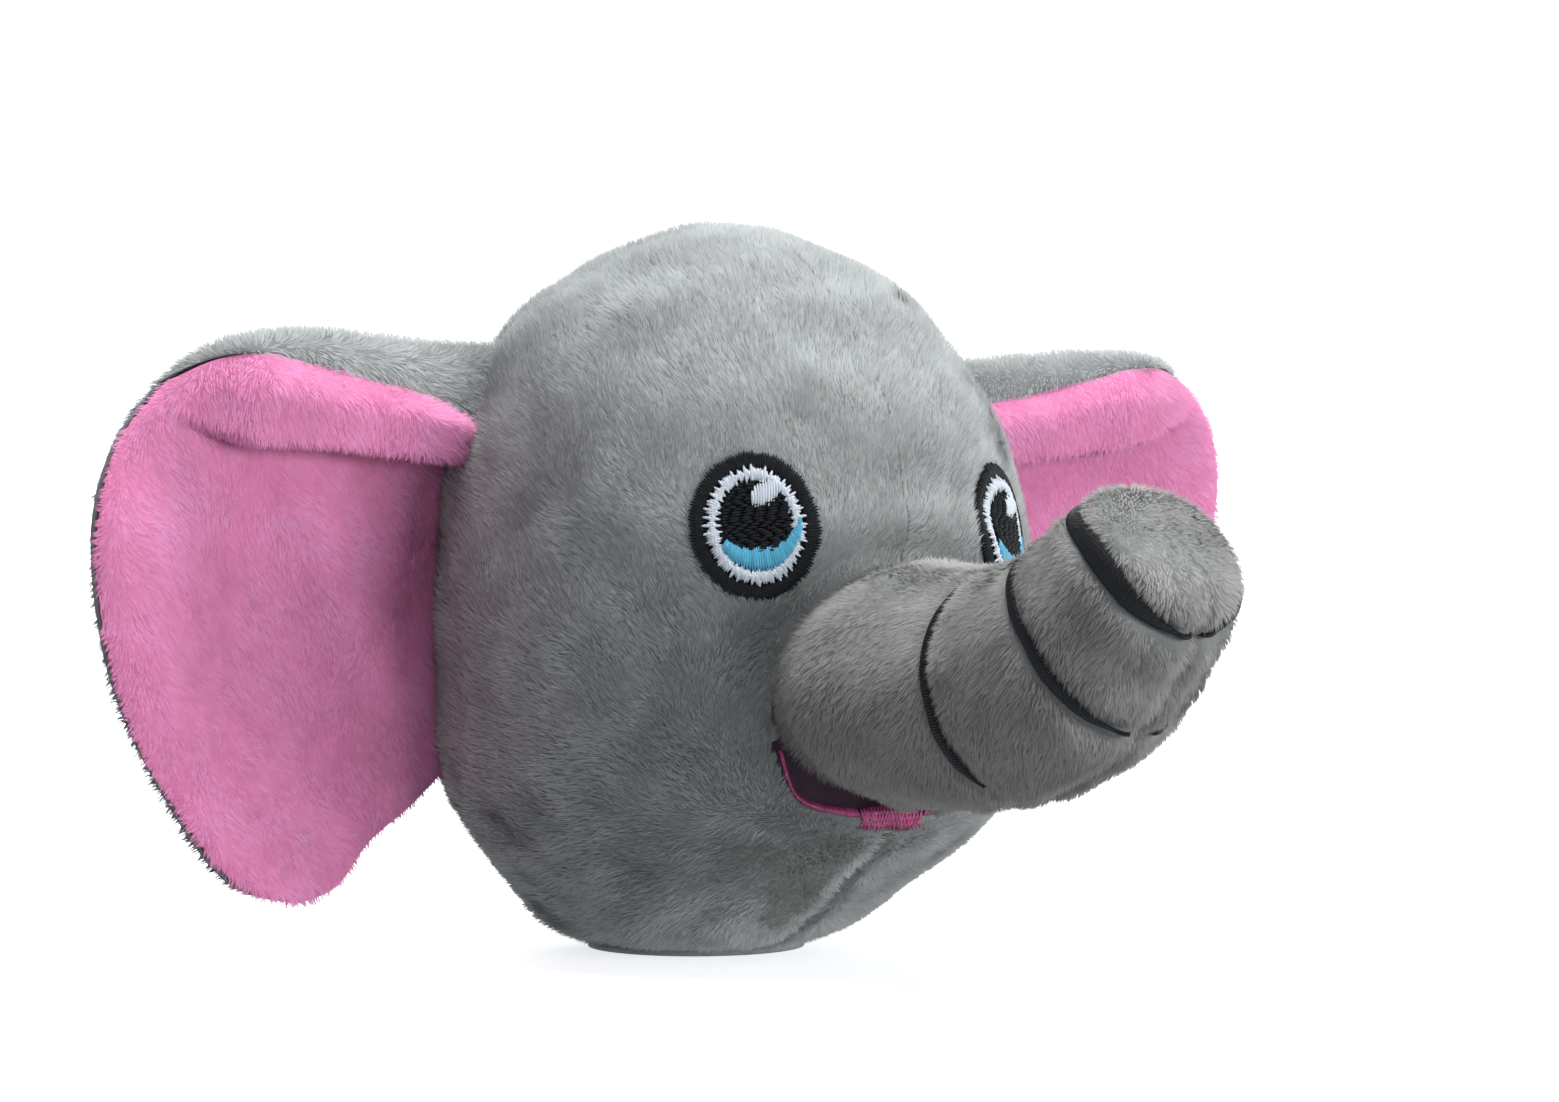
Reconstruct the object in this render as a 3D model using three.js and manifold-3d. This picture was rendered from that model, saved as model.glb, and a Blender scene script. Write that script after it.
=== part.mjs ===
// Plush elephant head: grey plush panels round a stuffed core, an upturned trunk in four
// lengths, two folded ears, stitched eyes and a smiling mouth. Millimetres, +Z up, the face
// looks along -Y, and the origin is on the resting plane under the middle of the head.
import * as THREE from 'three';
import { mergeVertices } from 'three/addons/utils/BufferGeometryUtils.js';
import Module from 'manifold-3d';

const wasm = await Module();
wasm.setup();

// ---- driving dimensions ----------------------------------------------------------------
const GAP = 0.35; // air kept between neighbouring pieces
const PLUSH = 2.0; // thickness of a plush panel with its pile
const STITCH = 0.9; // height of embroidery above the plush

const HEAD_TOP = 99.3;
const HEAD_RINGS = 15; // facets up the head
const TRUNK_SIDES = 18; // facets round the trunk
const BASE_RADIUS = 15; // flat resting patch
const BASE_SHIFT = 8; // the patch lies behind the middle of the head
const CROWN_SHIFT = 2; // the head leans back a little below its crown
const CROWN_HEIGHT = 84;
const BASE_REACH = 25; // height over which the head leans back to that patch
const EAR_SEAM = 110; // degrees from straight ahead to the side seam

const EYE_ANGLE = 30; // degrees from straight ahead to an eye
const EYE_HEIGHTS = { right: 58, left: 57 };
const EYE_HALF_WIDTH = 8.2;
const EYE_HALF_HEIGHT = 9.6;
const EYE_LEAN = 7.5; // degrees, tops of the eyes lean apart
const EYE_RING = 1.9; // width of the black outline

const TRUNK_ROOT = new THREE.Vector2(34, 38.3); // forward, up
const TRUNK_END = 55.5; // length along the trunk to the last wrinkle
const TIP_LENGTH = 10.5; // round tip beyond the last wrinkle
const TIP_BLUNT = 2.4; // 2 is a round end, more is a blunter one
const WRINKLES = [29, 44.8, 57.2];
const WRINKLE_SWEEP = [0, 1.5, 3]; // how far forward their sides reach
const TRUNK_JOINTS = [25.5, 39, 50.5];
const JOINT_BALLS = [9.5, 8.5, 7.5];
const JOINT_HALF_GAP = 2.45; // room for the trunk to bend

const EAR_SEAM_X = 38.5;
const EAR_SEAM_Y = 14;
const EAR_TURN = 10; // degrees, the ears swing forward of square
const EAR_STANDOFF = 2.4;
const EAR_LOW = 25.4;
const EAR_HIGH = 82.5;
const EAR_ROLL = 6; // how far the folded top comes forward
const EAR_LOBE = 36; // the left ear bends back below this height

const MOUTH_HALF_WIDTH = 17.5;
const MOUTH_CORNER = 30.5;
const MOUTH_FLOOR = 20.6;

const rad = THREE.MathUtils.degToRad;
const lerp = THREE.MathUtils.lerp;

const COLOURS = {
  grey: 0x8e918e, trunk_grey: 0x858480, pink: 0xe88db3, fill: 0xf2efe8, thread_black: 0x15161a,
  thread_white: 0xe9ecf2, thread_blue: 0x4aa3cf, lining: 0x4a3843, lip: 0xc65391,
};
const group = new THREE.Group();

// ---- closed solids ---------------------------------------------------------------------
function signedVolume(geometry) {
  const p = geometry.attributes.position;
  const index = geometry.index;
  const [a, b, c] = [new THREE.Vector3(), new THREE.Vector3(), new THREE.Vector3()];
  let total = 0;
  for (let i = 0; i < index.count; i += 3) {
    a.fromBufferAttribute(p, index.getX(i));
    b.fromBufferAttribute(p, index.getX(i + 1));
    c.fromBufferAttribute(p, index.getX(i + 2));
    total += a.dot(b.cross(c)) / 6;
  }
  return total;
}

// Only positions, shared vertices merged, no collapsed triangles, faces pointing out.
function closed(source) {
  const bare = source.clone();
  bare.deleteAttribute('normal');
  bare.deleteAttribute('uv');
  const geometry = mergeVertices(bare, 1e-4);
  const kept = [];
  for (let i = 0; i < geometry.index.count; i += 3) {
    const [a, b, c] = [0, 1, 2].map((k) => geometry.index.getX(i + k));
    if (a !== b && b !== c && c !== a) kept.push(a, b, c);
  }
  geometry.setIndex(kept);
  if (signedVolume(geometry) < 0) {
    for (let i = 0; i < kept.length; i += 3) [kept[i], kept[i + 1]] = [kept[i + 1], kept[i]];
    geometry.setIndex(kept);
  }
  return geometry;
}

function toManifold(geometry) {
  const solid = closed(geometry);
  return new wasm.Manifold(new wasm.Mesh({
    numProp: 3,
    vertProperties: new Float32Array(solid.attributes.position.array),
    triVerts: new Uint32Array(solid.index.array),
  }));
}

function fromManifold(solid) {
  const mesh = solid.getMesh();
  const geometry = new THREE.BufferGeometry();
  geometry.setAttribute('position', new THREE.BufferAttribute(mesh.vertProperties, 3));
  geometry.setIndex(new THREE.BufferAttribute(mesh.triVerts, 1));
  return geometry;
}

function cut(geometry, ...tools) {
  const start = toManifold(geometry);
  return fromManifold(tools.reduce((left, tool) => left.subtract(toManifold(tool)), start));
}

function join(geometry, ...others) {
  const start = toManifold(geometry);
  return fromManifold(others.reduce((sum, other) => sum.add(toManifold(other)), start));
}

function warp(geometry, place) {
  const p = geometry.attributes.position;
  for (let i = 0; i < p.count; i += 1) {
    const point = place(p.getX(i), p.getY(i), p.getZ(i));
    p.setXYZ(i, point.x, point.y, point.z);
  }
  return closed(geometry);
}

// A bent plate: place(u, v, w) gives its points, u and v over the plate, w through it.
function plate(across, along, place) {
  const block = new THREE.BoxGeometry(1, 1, 1, across, along, 1);
  return warp(block, (x, y, z) => place(x + 0.5, y + 0.5, z + 0.5));
}

function mirrored(geometry) {
  return warp(geometry.clone(), (x, y, z) => new THREE.Vector3(-x, y, z));
}

function addPiece(name, geometry, colour, roughness = 0.95) {
  const material = new THREE.MeshStandardMaterial({ color: COLOURS[colour], roughness, metalness: 0 });
  const mesh = new THREE.Mesh(geometry, material);
  mesh.name = name;
  group.add(mesh);
}

// A piece and its twin on the other side; the first is on the elephant's right, at -X.
function addPair(name, geometry, colour) {
  addPiece(`${name}_right`, geometry, colour);
  addPiece(`${name}_left`, mirrored(geometry), colour);
}

// ---- head surface ----------------------------------------------------------------------
const headProfile = new THREE.SplineCurve([
  [BASE_RADIUS, 0], [22.3, 3.4], [29.5, 10.3], [35.6, 17.1], [39.6, 24], [41.5, 38], [40.7, 57],
  [37.2, 72.6], [29.9, 85.6], [21, 92.6], [14, 96.2], [6, 98.8], [1, HEAD_TOP],
].map(([radius, height]) => new THREE.Vector2(radius, height)));

function headShift(height) {
  const low = Math.max(0, 1 - height / BASE_REACH);
  const crown = (height - CROWN_HEIGHT) / 8;
  return BASE_SHIFT * low * low + CROWN_SHIFT * Math.exp(-crown * crown);
}

// Point on the head: angle in degrees from straight ahead towards -X, t up the profile.
function headPoint(angle, t, offset) {
  const along = Math.min(Math.max(t, 0), 1);
  const point = headProfile.getPoint(along);
  const slope = headProfile.getTangent(Math.min(Math.max(along, 0.01), 0.99));
  const radius = Math.max(0.05, point.x + offset * slope.y);
  const height = point.y - offset * slope.x;
  const a = rad(angle);
  return new THREE.Vector3(
    -radius * Math.sin(a), headShift(point.y) - radius * Math.cos(a), height,
  );
}

function profileAt(height) {
  let [low, high] = [0, 1];
  for (let i = 0; i < 30; i += 1) {
    const middle = (low + high) / 2;
    if (headProfile.getPoint(middle).y < height) low = middle;
    else high = middle;
  }
  return low;
}

function headRadius(height) {
  return headProfile.getPoint(profileAt(height)).x;
}

// A patch of the head between two angles, over its whole height.
function headPanel(from, to, across) {
  const edge = (radius) => THREE.MathUtils.radToDeg(GAP / 2 / Math.max(radius, 0.5));
  return plate(across, HEAD_RINGS, (u, v, w) => {
    const pull = edge(headProfile.getPoint(v).x);
    const angle = lerp(from + Math.min(pull, 20), to - Math.min(pull, 20), u);
    return headPoint(angle, v, (w - 1) * PLUSH);
  });
}

function headFill() {
  const inset = PLUSH + 0.9;
  const profile = [new THREE.Vector2(0, inset)];
  for (let i = 0; i <= HEAD_RINGS; i += 1) {
    const t = i / HEAD_RINGS;
    const point = headPoint(-90, t, -inset);
    const height = Math.max(point.z, inset);
    profile.push(new THREE.Vector2(Math.max(point.x, 0.6), height));
  }
  profile.push(new THREE.Vector2(0, HEAD_TOP - inset));
  const turned = new THREE.LatheGeometry(profile, 28);
  return warp(turned, (x, y, z) => new THREE.Vector3(x, headShift(y) - z, y));
}

// ---- trunk surface ---------------------------------------------------------------------
const trunkLine = new THREE.SplineCurve([
  TRUNK_ROOT.toArray(), [48, 37.5], [60.5, 38], [73.5, 41.6], [83.5, 49], [91.6, 58],
].map(([forward, up]) => new THREE.Vector2(forward, up)));
const trunkLength = trunkLine.getLength();
const trunkWidth = new THREE.SplineCurve([
  [0, 19.8], [7, 19.3], [16, 17.6], [WRINKLES[0], 15.6], [WRINKLES[1], 13.8], [TRUNK_END, 12.2],
  [TRUNK_END + TIP_LENGTH, 12],
].map(([at, half]) => new THREE.Vector2(at, half)));
const trunkHeight = new THREE.SplineCurve([
  [0, 16], [7, 16.2], [16, 15.8], [WRINKLES[0], 15.2], [WRINKLES[1], 14.3], [TRUNK_END, 12.6],
  [TRUNK_END + TIP_LENGTH, 12],
].map(([at, half]) => new THREE.Vector2(at, half)));

function halfSize(curve, at) {
  let [low, high] = [0, 1];
  for (let i = 0; i < 24; i += 1) {
    const middle = (low + high) / 2;
    if (curve.getPoint(middle).x < at) low = middle;
    else high = middle;
  }
  return curve.getPoint(low).y;
}

function trunkFrame(at) {
  const u = THREE.MathUtils.clamp(at / trunkLength, 0, 1);
  const centre = trunkLine.getPointAt(u);
  const ahead = trunkLine.getTangentAt(u);
  return {
    centre: new THREE.Vector3(0, -centre.x, centre.y),
    ahead: new THREE.Vector3(0, -ahead.x, ahead.y),
    up: new THREE.Vector3(0, ahead.y, ahead.x),
  };
}

// Point round the trunk: angle in degrees from its top towards -X.
function trunkPoint(at, angle, offset) {
  const { centre, up } = trunkFrame(at);
  const beyond = Math.max(0, (at - TRUNK_END) / TIP_LENGTH);
  const round = Math.max(0, 1 - beyond ** TIP_BLUNT) ** (1 / TIP_BLUNT);
  const a = rad(angle);
  const out = Math.max(0.4, halfSize(trunkWidth, at) * round + offset);
  const rise = Math.max(0.4, halfSize(trunkHeight, at) * round + offset);
  return centre.clone()
    .addScaledVector(new THREE.Vector3(-1, 0, 0), out * Math.sin(a))
    .addScaledVector(up, rise * Math.cos(a));
}

// The plush round one length of trunk, with its seam underneath.
function trunkPanel(from, to, steps) {
  const seam = 1.2;
  return plate(TRUNK_SIDES, steps, (u, v, w) => {
    const angle = lerp(-180 + seam, 180 - seam, u);
    return trunkPoint(lerp(from, to, v), angle, (w - 1) * PLUSH);
  });
}

function trunkSolid(from, to, steps, offset) {
  const rod = new THREE.CylinderGeometry(1, 1, 1, TRUNK_SIDES, steps, false);
  return warp(rod, (x, y, z) => {
    const angle = THREE.MathUtils.radToDeg(Math.atan2(x, z));
    const at = lerp(from, to, y + 0.5);
    const rim = trunkPoint(at, angle, offset);
    return trunkFrame(at).centre.clone().lerp(rim, Math.hypot(x, z));
  });
}

function ballAt(at, radius) {
  const ball = new THREE.SphereGeometry(radius, 12, 8);
  const { centre } = trunkFrame(at);
  return ball.translate(centre.x, centre.y, centre.z);
}

function wrinkle(number, halfWidth, from, to, steps) {
  return plate(steps, 1, (u, v, w) => {
    const angle = lerp(from, to, u);
    const taper = Math.max(0.35, Math.min(1, 6 * Math.min(u, 1 - u)));
    const sweep = WRINKLE_SWEEP[number] * Math.sin(rad(angle)) ** 2;
    const place = WRINKLES[number] + sweep + (2 * v - 1) * halfWidth * taper;
    return trunkPoint(place, angle, GAP + w * STITCH);
  });
}

const LENGTHS = [
  ['muzzle', 0, TRUNK_JOINTS[0] - JOINT_HALF_GAP],
  ['trunk_lower', TRUNK_JOINTS[0] + JOINT_HALF_GAP, TRUNK_JOINTS[1] - JOINT_HALF_GAP],
  ['trunk_upper', TRUNK_JOINTS[1] + JOINT_HALF_GAP, TRUNK_JOINTS[2] - JOINT_HALF_GAP],
  ['trunk_tip', TRUNK_JOINTS[2] + JOINT_HALF_GAP, TRUNK_END + TIP_LENGTH - 0.02],
];

function addTrunk() {
  LENGTHS.forEach(([name, from, to], i) => {
    addPiece(`${name}_panel`, trunkPanel(from, to, i === 3 ? 6 : 3), 'trunk_grey');
    const end = i === 3 ? TRUNK_END + TIP_LENGTH - PLUSH - GAP - 1 : to;
    let fill = trunkSolid(i === 0 ? 1 : from, end, i === 3 ? 5 : 3, -PLUSH - GAP - 0.2);
    if (i > 0) fill = join(fill, ballAt(TRUNK_JOINTS[i - 1], JOINT_BALLS[i - 1]));
    if (i < 3) fill = cut(fill, ballAt(TRUNK_JOINTS[i], JOINT_BALLS[i] + 2 * GAP));
    addPiece(`${name}_stuffing`, fill, 'fill');
  });
  addPair('trunk_wrinkle_1', wrinkle(0, 0.5, 34, 150, 9), 'thread_black');
  addPiece('trunk_wrinkle_2', wrinkle(1, 0.6, -172, 172, 22), 'thread_black', 0.6);
  addPiece('trunk_wrinkle_3', wrinkle(2, 0.8, -176, 176, 22), 'thread_black', 0.6);
}

// ---- mouth -----------------------------------------------------------------------------
function mouthCurve(drop) {
  return new THREE.SplineCurve([
    new THREE.Vector2(-MOUTH_HALF_WIDTH, MOUTH_CORNER),
    new THREE.Vector2(-0.84 * MOUTH_HALF_WIDTH, lerp(MOUTH_CORNER, MOUTH_FLOOR, 0.68) - drop),
    new THREE.Vector2(-0.45 * MOUTH_HALF_WIDTH, lerp(MOUTH_CORNER, MOUTH_FLOOR, 0.93) - drop),
    new THREE.Vector2(0, MOUTH_FLOOR - drop),
  ]);
}

function mouthOpening() {
  const half = mouthCurve(0).getPoints(6);
  const rest = half.slice(0, -1).reverse().map((p) => new THREE.Vector2(-p.x, p.y));
  const outline = new THREE.Shape([...half, ...rest]);
  const block = new THREE.ExtrudeGeometry(outline, { depth: 30, bevelEnabled: false });
  return warp(block, (x, y, z) => new THREE.Vector3(x, -20 - z, y));
}

// Strip on the head just under the mouth's lower edge, between two shares of the curve.
function lipStrip(from, to, low, high, steps) {
  const curve = mouthCurve(0);
  return plate(steps, 1, (u, v, w) => {
    const point = curve.getPoint(Math.min(lerp(from, to, u), 1));
    const height = point.y + lerp(low, high, v);
    const t = profileAt(height);
    const angle = THREE.MathUtils.radToDeg(Math.asin(-point.x / headProfile.getPoint(t).x));
    return headPoint(angle, t, GAP + w * STITCH);
  });
}

function tongue() {
  return plate(8, 3, (u, v, w) => {
    const across = lerp(-1, 1, u);
    const height = MOUTH_FLOOR + lerp(-1.5 - 0.5 * Math.sqrt(1 - across * across), -0.3, v);
    const t = profileAt(height);
    const angle = THREE.MathUtils.radToDeg(Math.asin((4.4 * across) / headProfile.getPoint(t).x));
    return headPoint(angle, t, GAP + w * STITCH);
  });
}

function mouthLining() {
  return plate(8, 2, (u, v, w) => {
    const height = lerp(MOUTH_FLOOR - 3, MOUTH_CORNER + 2, v);
    const depth = -PLUSH - GAP - 0.2 - 1.2 * (1 - w);
    return headPoint(lerp(-29, 29, u), profileAt(height), depth);
  });
}

// ---- eyes ------------------------------------------------------------------------------
// Point on the head beside an eye: p towards +X and q up from the eye's middle.
function eyePoint(side, p, q, offset) {
  const lean = rad(EYE_LEAN) * side;
  const across = p * Math.cos(lean) - q * Math.sin(lean);
  const middle = side > 0 ? EYE_HEIGHTS.right : EYE_HEIGHTS.left;
  const height = middle + p * Math.sin(lean) + q * Math.cos(lean);
  const t = profileAt(height);
  const angle = side * EYE_ANGLE - THREE.MathUtils.radToDeg(across / headProfile.getPoint(t).x);
  return headPoint(angle, t, offset);
}

function ellipse(x, y, halfWidth, halfHeight) {
  return (angle) => [x + halfWidth * Math.cos(angle), y + halfHeight * Math.sin(angle)];
}

function eyeRing(side, outer, inner, from = 0, to = 360, steps = 24) {
  const whole = to - from === 360;
  const place = (share, w, angle) => {
    const [ox, oy] = outer(angle);
    const [ix, iy] = inner(angle);
    return eyePoint(side, lerp(ix, ox, share), lerp(iy, oy, share), GAP + w * STITCH);
  };
  if (!whole) {
    return plate(steps, 1, (u, v, w) => place(v, w, rad(lerp(from, to, u))));
  }
  const profile = [[1, 0], [2, 0], [2, 1], [1, 1], [1, 0]].map(([x, y]) => new THREE.Vector2(x, y));
  const hoop = new THREE.LatheGeometry(profile, steps);
  return warp(hoop, (x, y, z) => place(Math.hypot(x, z) - 1, y, Math.atan2(z, x)));
}

function eyeDisc(side, outline, steps = 20) {
  const profile = [[0, 0], [0.5, 0], [1, 0], [1, 1], [0.5, 1], [0, 1]]
    .map(([x, y]) => new THREE.Vector2(x, y));
  const disc = new THREE.LatheGeometry(profile, steps);
  const [right] = outline(0);
  const [left] = outline(Math.PI);
  const [, top] = outline(Math.PI / 2);
  const [, bottom] = outline(-Math.PI / 2);
  const [cx, cy] = [(left + right) / 2, (top + bottom) / 2];
  return warp(disc, (x, y, z) => {
    const [px, py] = outline(Math.atan2(z, x));
    const share = Math.hypot(x, z);
    return eyePoint(side, lerp(cx, px, share), lerp(cy, py, share), GAP + y * STITCH);
  });
}

// A tall plug through the stitching, for cutting the glint's place out of the pupil.
function eyePlug(side, x, y, radius) {
  const rod = new THREE.CylinderGeometry(1, 1, 1, 12);
  return warp(rod, (a, h, b) => eyePoint(side, x + radius * a, y + radius * b, 1 + 5 * h));
}

function addEye(side, word) {
  const inside = EYE_HALF_WIDTH - EYE_RING;
  const insideHigh = EYE_HALF_HEIGHT - EYE_RING;
  const whiteBand = 1.1;
  const holeWide = inside - GAP - whiteBand;
  const holeHigh = insideHigh - GAP - whiteBand;
  const pupilHigh = 4.5;
  const pupilUp = holeHigh - GAP - pupilHigh;
  const glint = { x: 2, y: pupilUp + 1.6, radius: 1.3 };
  const outer = ellipse(0, 0, EYE_HALF_WIDTH, EYE_HALF_HEIGHT);
  const outline = eyeRing(side, outer, ellipse(0, 0, inside, insideHigh));
  addPiece(`eye_outline_${word}`, outline, 'thread_black');
  const white = eyeRing(
    side, ellipse(0, 0, inside - GAP, insideHigh - GAP), ellipse(0, 0, holeWide, holeHigh),
  );
  addPiece(`eye_white_${word}`, white, 'thread_white');
  const pupil = eyeDisc(side, ellipse(0, pupilUp, holeWide - GAP, pupilHigh));
  const glintRoom = eyePlug(side, glint.x, glint.y, glint.radius + GAP);
  addPiece(`eye_pupil_${word}`, cut(pupil, glintRoom), 'thread_black');
  const glintDisc = eyeDisc(side, ellipse(glint.x, glint.y, glint.radius, glint.radius), 10);
  addPiece(`eye_glint_${word}`, glintDisc, 'thread_white');
  const iris = eyeRing(
    side, ellipse(0, 0, holeWide - GAP, holeHigh - GAP),
    ellipse(0, pupilUp - GAP, holeWide - GAP, pupilHigh), 212, 328, 10,
  );
  addPiece(`eye_iris_${word}`, iris, 'thread_blue');
}

// ---- ears ------------------------------------------------------------------------------
// In the ear's own plane: s outwards from the side seam, z up.
function earInner(height) {
  const turn = rad(EAR_TURN);
  const need = headRadius(height) + EAR_STANDOFF;
  const [dx, dy] = [Math.cos(turn), Math.sin(turn)];
  const y0 = EAR_SEAM_Y - headShift(height);
  // |(EAR_SEAM_X + s dx, y0 - s dy)| = need, solved for s
  const half = EAR_SEAM_X * dx - y0 * dy;
  const rest = EAR_SEAM_X ** 2 + y0 ** 2 - need ** 2;
  return -half + Math.sqrt(Math.max(0, half * half - rest));
}

const spline = (points) => new THREE.SplineCurve(points.map(([x, y]) => new THREE.Vector2(x, y)));
const earLowCorner = [22.4, 8.8];
const earHighCorner = [44.5, 75.8];
const earLowEdge = spline([[earInner(EAR_LOW), EAR_LOW], [9.5, 16.5], [16.5, 10.4], earLowCorner]);
const earOuterEdge = spline([
  earLowCorner, [33.7, 12.3], [44, 24.8], [51.8, 39.5], [54.6, 56], [51.6, 67.5], earHighCorner,
]);
const earTopEdge = spline([
  [earInner(EAR_HIGH), EAR_HIGH], [7, 82.3], [24.5, 83.2], [37.6, 80.8], earHighCorner,
]);

function earOutline(u, v) {
  const low = earLowEdge.getPoint(u);
  const top = earTopEdge.getPoint(u);
  const height = lerp(EAR_LOW, EAR_HIGH, v);
  const inner = new THREE.Vector2(earInner(height), height);
  const outer = earOuterEdge.getPoint(v);
  const [lowIn, lowOut] = [earLowEdge.getPoint(0), earLowEdge.getPoint(1)];
  const [topIn, topOut] = [earTopEdge.getPoint(0), earTopEdge.getPoint(1)];
  const blend = (axis) => {
    const sides = lerp(low[axis], top[axis], v) + lerp(inner[axis], outer[axis], u);
    const corners = lerp(
      lerp(lowIn[axis], lowOut[axis], u), lerp(topIn[axis], topOut[axis], u), v,
    );
    return sides - corners;
  };
  return new THREE.Vector2(blend('x'), blend('y'));
}

function earForward(s, height) {
  const middle = Math.exp(-(((s - 26) / 20) ** 2) - (((height - 44) / 22) ** 2));
  const roll = THREE.MathUtils.smoothstep(height, 66, 80) * (1 - THREE.MathUtils.smoothstep(s, 34, 52));
  const edge = THREE.MathUtils.smoothstep(s, 0, 12);
  return edge * (EAR_ROLL * roll - 3 * middle);
}

// The left ear flops another way: its outer top stands up and its lobe bends back.
function flop(s, height) {
  const out = THREE.MathUtils.smoothstep(s, 2, 24);
  const lobe = Math.max(0, EAR_LOBE - height) * out;
  const bend = Math.min(1, lobe / EAR_LOBE);
  const corner = THREE.MathUtils.smoothstep(s, 16, 46) * THREE.MathUtils.smoothstep(height, 52, 76);
  return {
    lift: 0.45 * lobe * bend + 3.5 * corner,
    spread: 6 * corner,
    back: 1.1 * lobe * Math.sqrt(bend),
  };
}

function earPanel(side, front) {
  const turn = rad(EAR_TURN);
  return plate(8, 10, (u, v, w) => {
    const { x: out, y: height } = earOutline(u, v);
    const depth = front ? GAP / 2 + w * (PLUSH - 0.2) : -GAP / 2 - w * (PLUSH - 0.2);
    const { lift, spread, back } = side > 0 ? { lift: 0, spread: 0, back: 0 } : flop(out, height);
    const s = out + spread;
    const forward = earForward(out, height) + depth - back;
    return new THREE.Vector3(
      -side * (EAR_SEAM_X + s * Math.cos(turn) - forward * Math.sin(turn)),
      EAR_SEAM_Y - s * Math.sin(turn) - forward * Math.cos(turn),
      height + lift,
    );
  });
}

// ---- closing stitches at the back ------------------------------------------------------
// One thread that crosses the rear seam from side to side on its way up.
function closingStitches() {
  const [crossings, first, rise, reach, thread] = [6, 20, 24, 1.6, 0.35];
  const route = Array.from({ length: crossings + 1 }, (_, i) => {
    const height = first + (i / crossings) * rise;
    const turn = THREE.MathUtils.radToDeg((i % 2 ? reach : -reach) / headRadius(height));
    return headPoint(180 + turn, profileAt(height), GAP + thread);
  });
  const rim = new THREE.EllipseCurve(0, 0, thread, thread).getPoints(6);
  const section = new THREE.Shape(rim.slice(0, -1));
  const path = new THREE.CatmullRomCurve3(route);
  const steps = 5 * crossings;
  const options = { steps, extrudePath: path, curveSegments: 1 };
  return closed(new THREE.ExtrudeGeometry(section, options));
}

// ---- assembly --------------------------------------------------------------------------
const muzzleRoom = trunkSolid(-1, TRUNK_JOINTS[0] - JOINT_HALF_GAP, 4, GAP);
const facePanel = cut(headPanel(0, EAR_SEAM, 9), muzzleRoom, mouthOpening());
addPair('face_panel', facePanel, 'grey');
addPair('back_panel', headPanel(EAR_SEAM, 180, 5), 'grey');

const basePlate = new THREE.CylinderGeometry(BASE_RADIUS - GAP - 0.4, BASE_RADIUS - GAP - 1.3, PLUSH, 28);
basePlate.rotateX(-Math.PI / 2).translate(0, BASE_SHIFT, PLUSH / 2);
addPiece('base_panel', closed(basePlate), 'grey');

const lining = cut(mouthLining(), muzzleRoom);
const liningRoom = plate(8, 2, (u, v, w) => {
  const height = lerp(MOUTH_FLOOR - 4, MOUTH_CORNER + 3, v);
  return headPoint(lerp(-31, 31, u), profileAt(height), -4.2 - GAP + w * 5);
});
addPiece('head_stuffing', cut(headFill(), muzzleRoom, liningRoom), 'fill');
addPiece('mouth_lining', lining, 'lining');
addPair('lower_lip', lipStrip(0.2, 0.7, -1.2, -0.3, 8), 'lip');
addPiece('tongue', tongue(), 'lip');

addTrunk();
[[1, 'right'], [-1, 'left']].forEach(([side, word]) => {
  addEye(side, word);
  addPiece(`ear_front_${word}`, earPanel(side, true), 'pink');
  addPiece(`ear_back_${word}`, earPanel(side, false), 'grey');
});
addPiece('rear_seam_thread', closingStitches(), 'fill');

export default group;
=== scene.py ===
"""Looks of the plush elephant head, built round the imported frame.

Shapes are worked out in millimetres and stored in metres, +Z up, with the face looking along -Y.
"""

import math

import bpy
import numpy as np
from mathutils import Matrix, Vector
from mathutils.kdtree import KDTree


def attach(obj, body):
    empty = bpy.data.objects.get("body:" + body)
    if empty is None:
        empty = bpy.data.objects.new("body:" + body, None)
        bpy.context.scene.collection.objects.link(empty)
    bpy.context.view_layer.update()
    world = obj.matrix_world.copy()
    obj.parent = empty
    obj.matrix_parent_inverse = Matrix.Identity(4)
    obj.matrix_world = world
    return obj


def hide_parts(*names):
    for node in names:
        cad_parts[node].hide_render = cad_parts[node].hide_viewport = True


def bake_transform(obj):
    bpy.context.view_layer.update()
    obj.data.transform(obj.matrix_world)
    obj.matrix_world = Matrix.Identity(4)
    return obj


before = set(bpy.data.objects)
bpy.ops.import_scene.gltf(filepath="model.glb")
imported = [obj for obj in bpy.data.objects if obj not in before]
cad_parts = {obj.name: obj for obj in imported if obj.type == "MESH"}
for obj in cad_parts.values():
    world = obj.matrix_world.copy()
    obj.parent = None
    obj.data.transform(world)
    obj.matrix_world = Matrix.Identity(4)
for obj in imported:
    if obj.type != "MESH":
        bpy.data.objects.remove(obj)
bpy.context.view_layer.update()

MM = 0.001
BAKE_MAP = "OFBake"  # the UV layer that carries each piece's own layout
SIDES = [(1, "right"), (-1, "left")]

# ---- driving dimensions, as in the part's own source ----
HEAD_PROFILE = [
    (15, 0), (22.3, 3.4), (29.5, 10.3), (35.6, 17.1), (39.6, 24), (41.5, 38), (40.7, 57),
    (37.2, 72.6), (29.9, 85.6), (21, 92.6), (14, 96.2), (6, 98.8), (0.4, 99.4),
]
BASE_SHIFT, BASE_REACH = 8, 25
CROWN_SHIFT, CROWN_HEIGHT = 2, 84
EAR_SEAM = math.radians(110)

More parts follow.
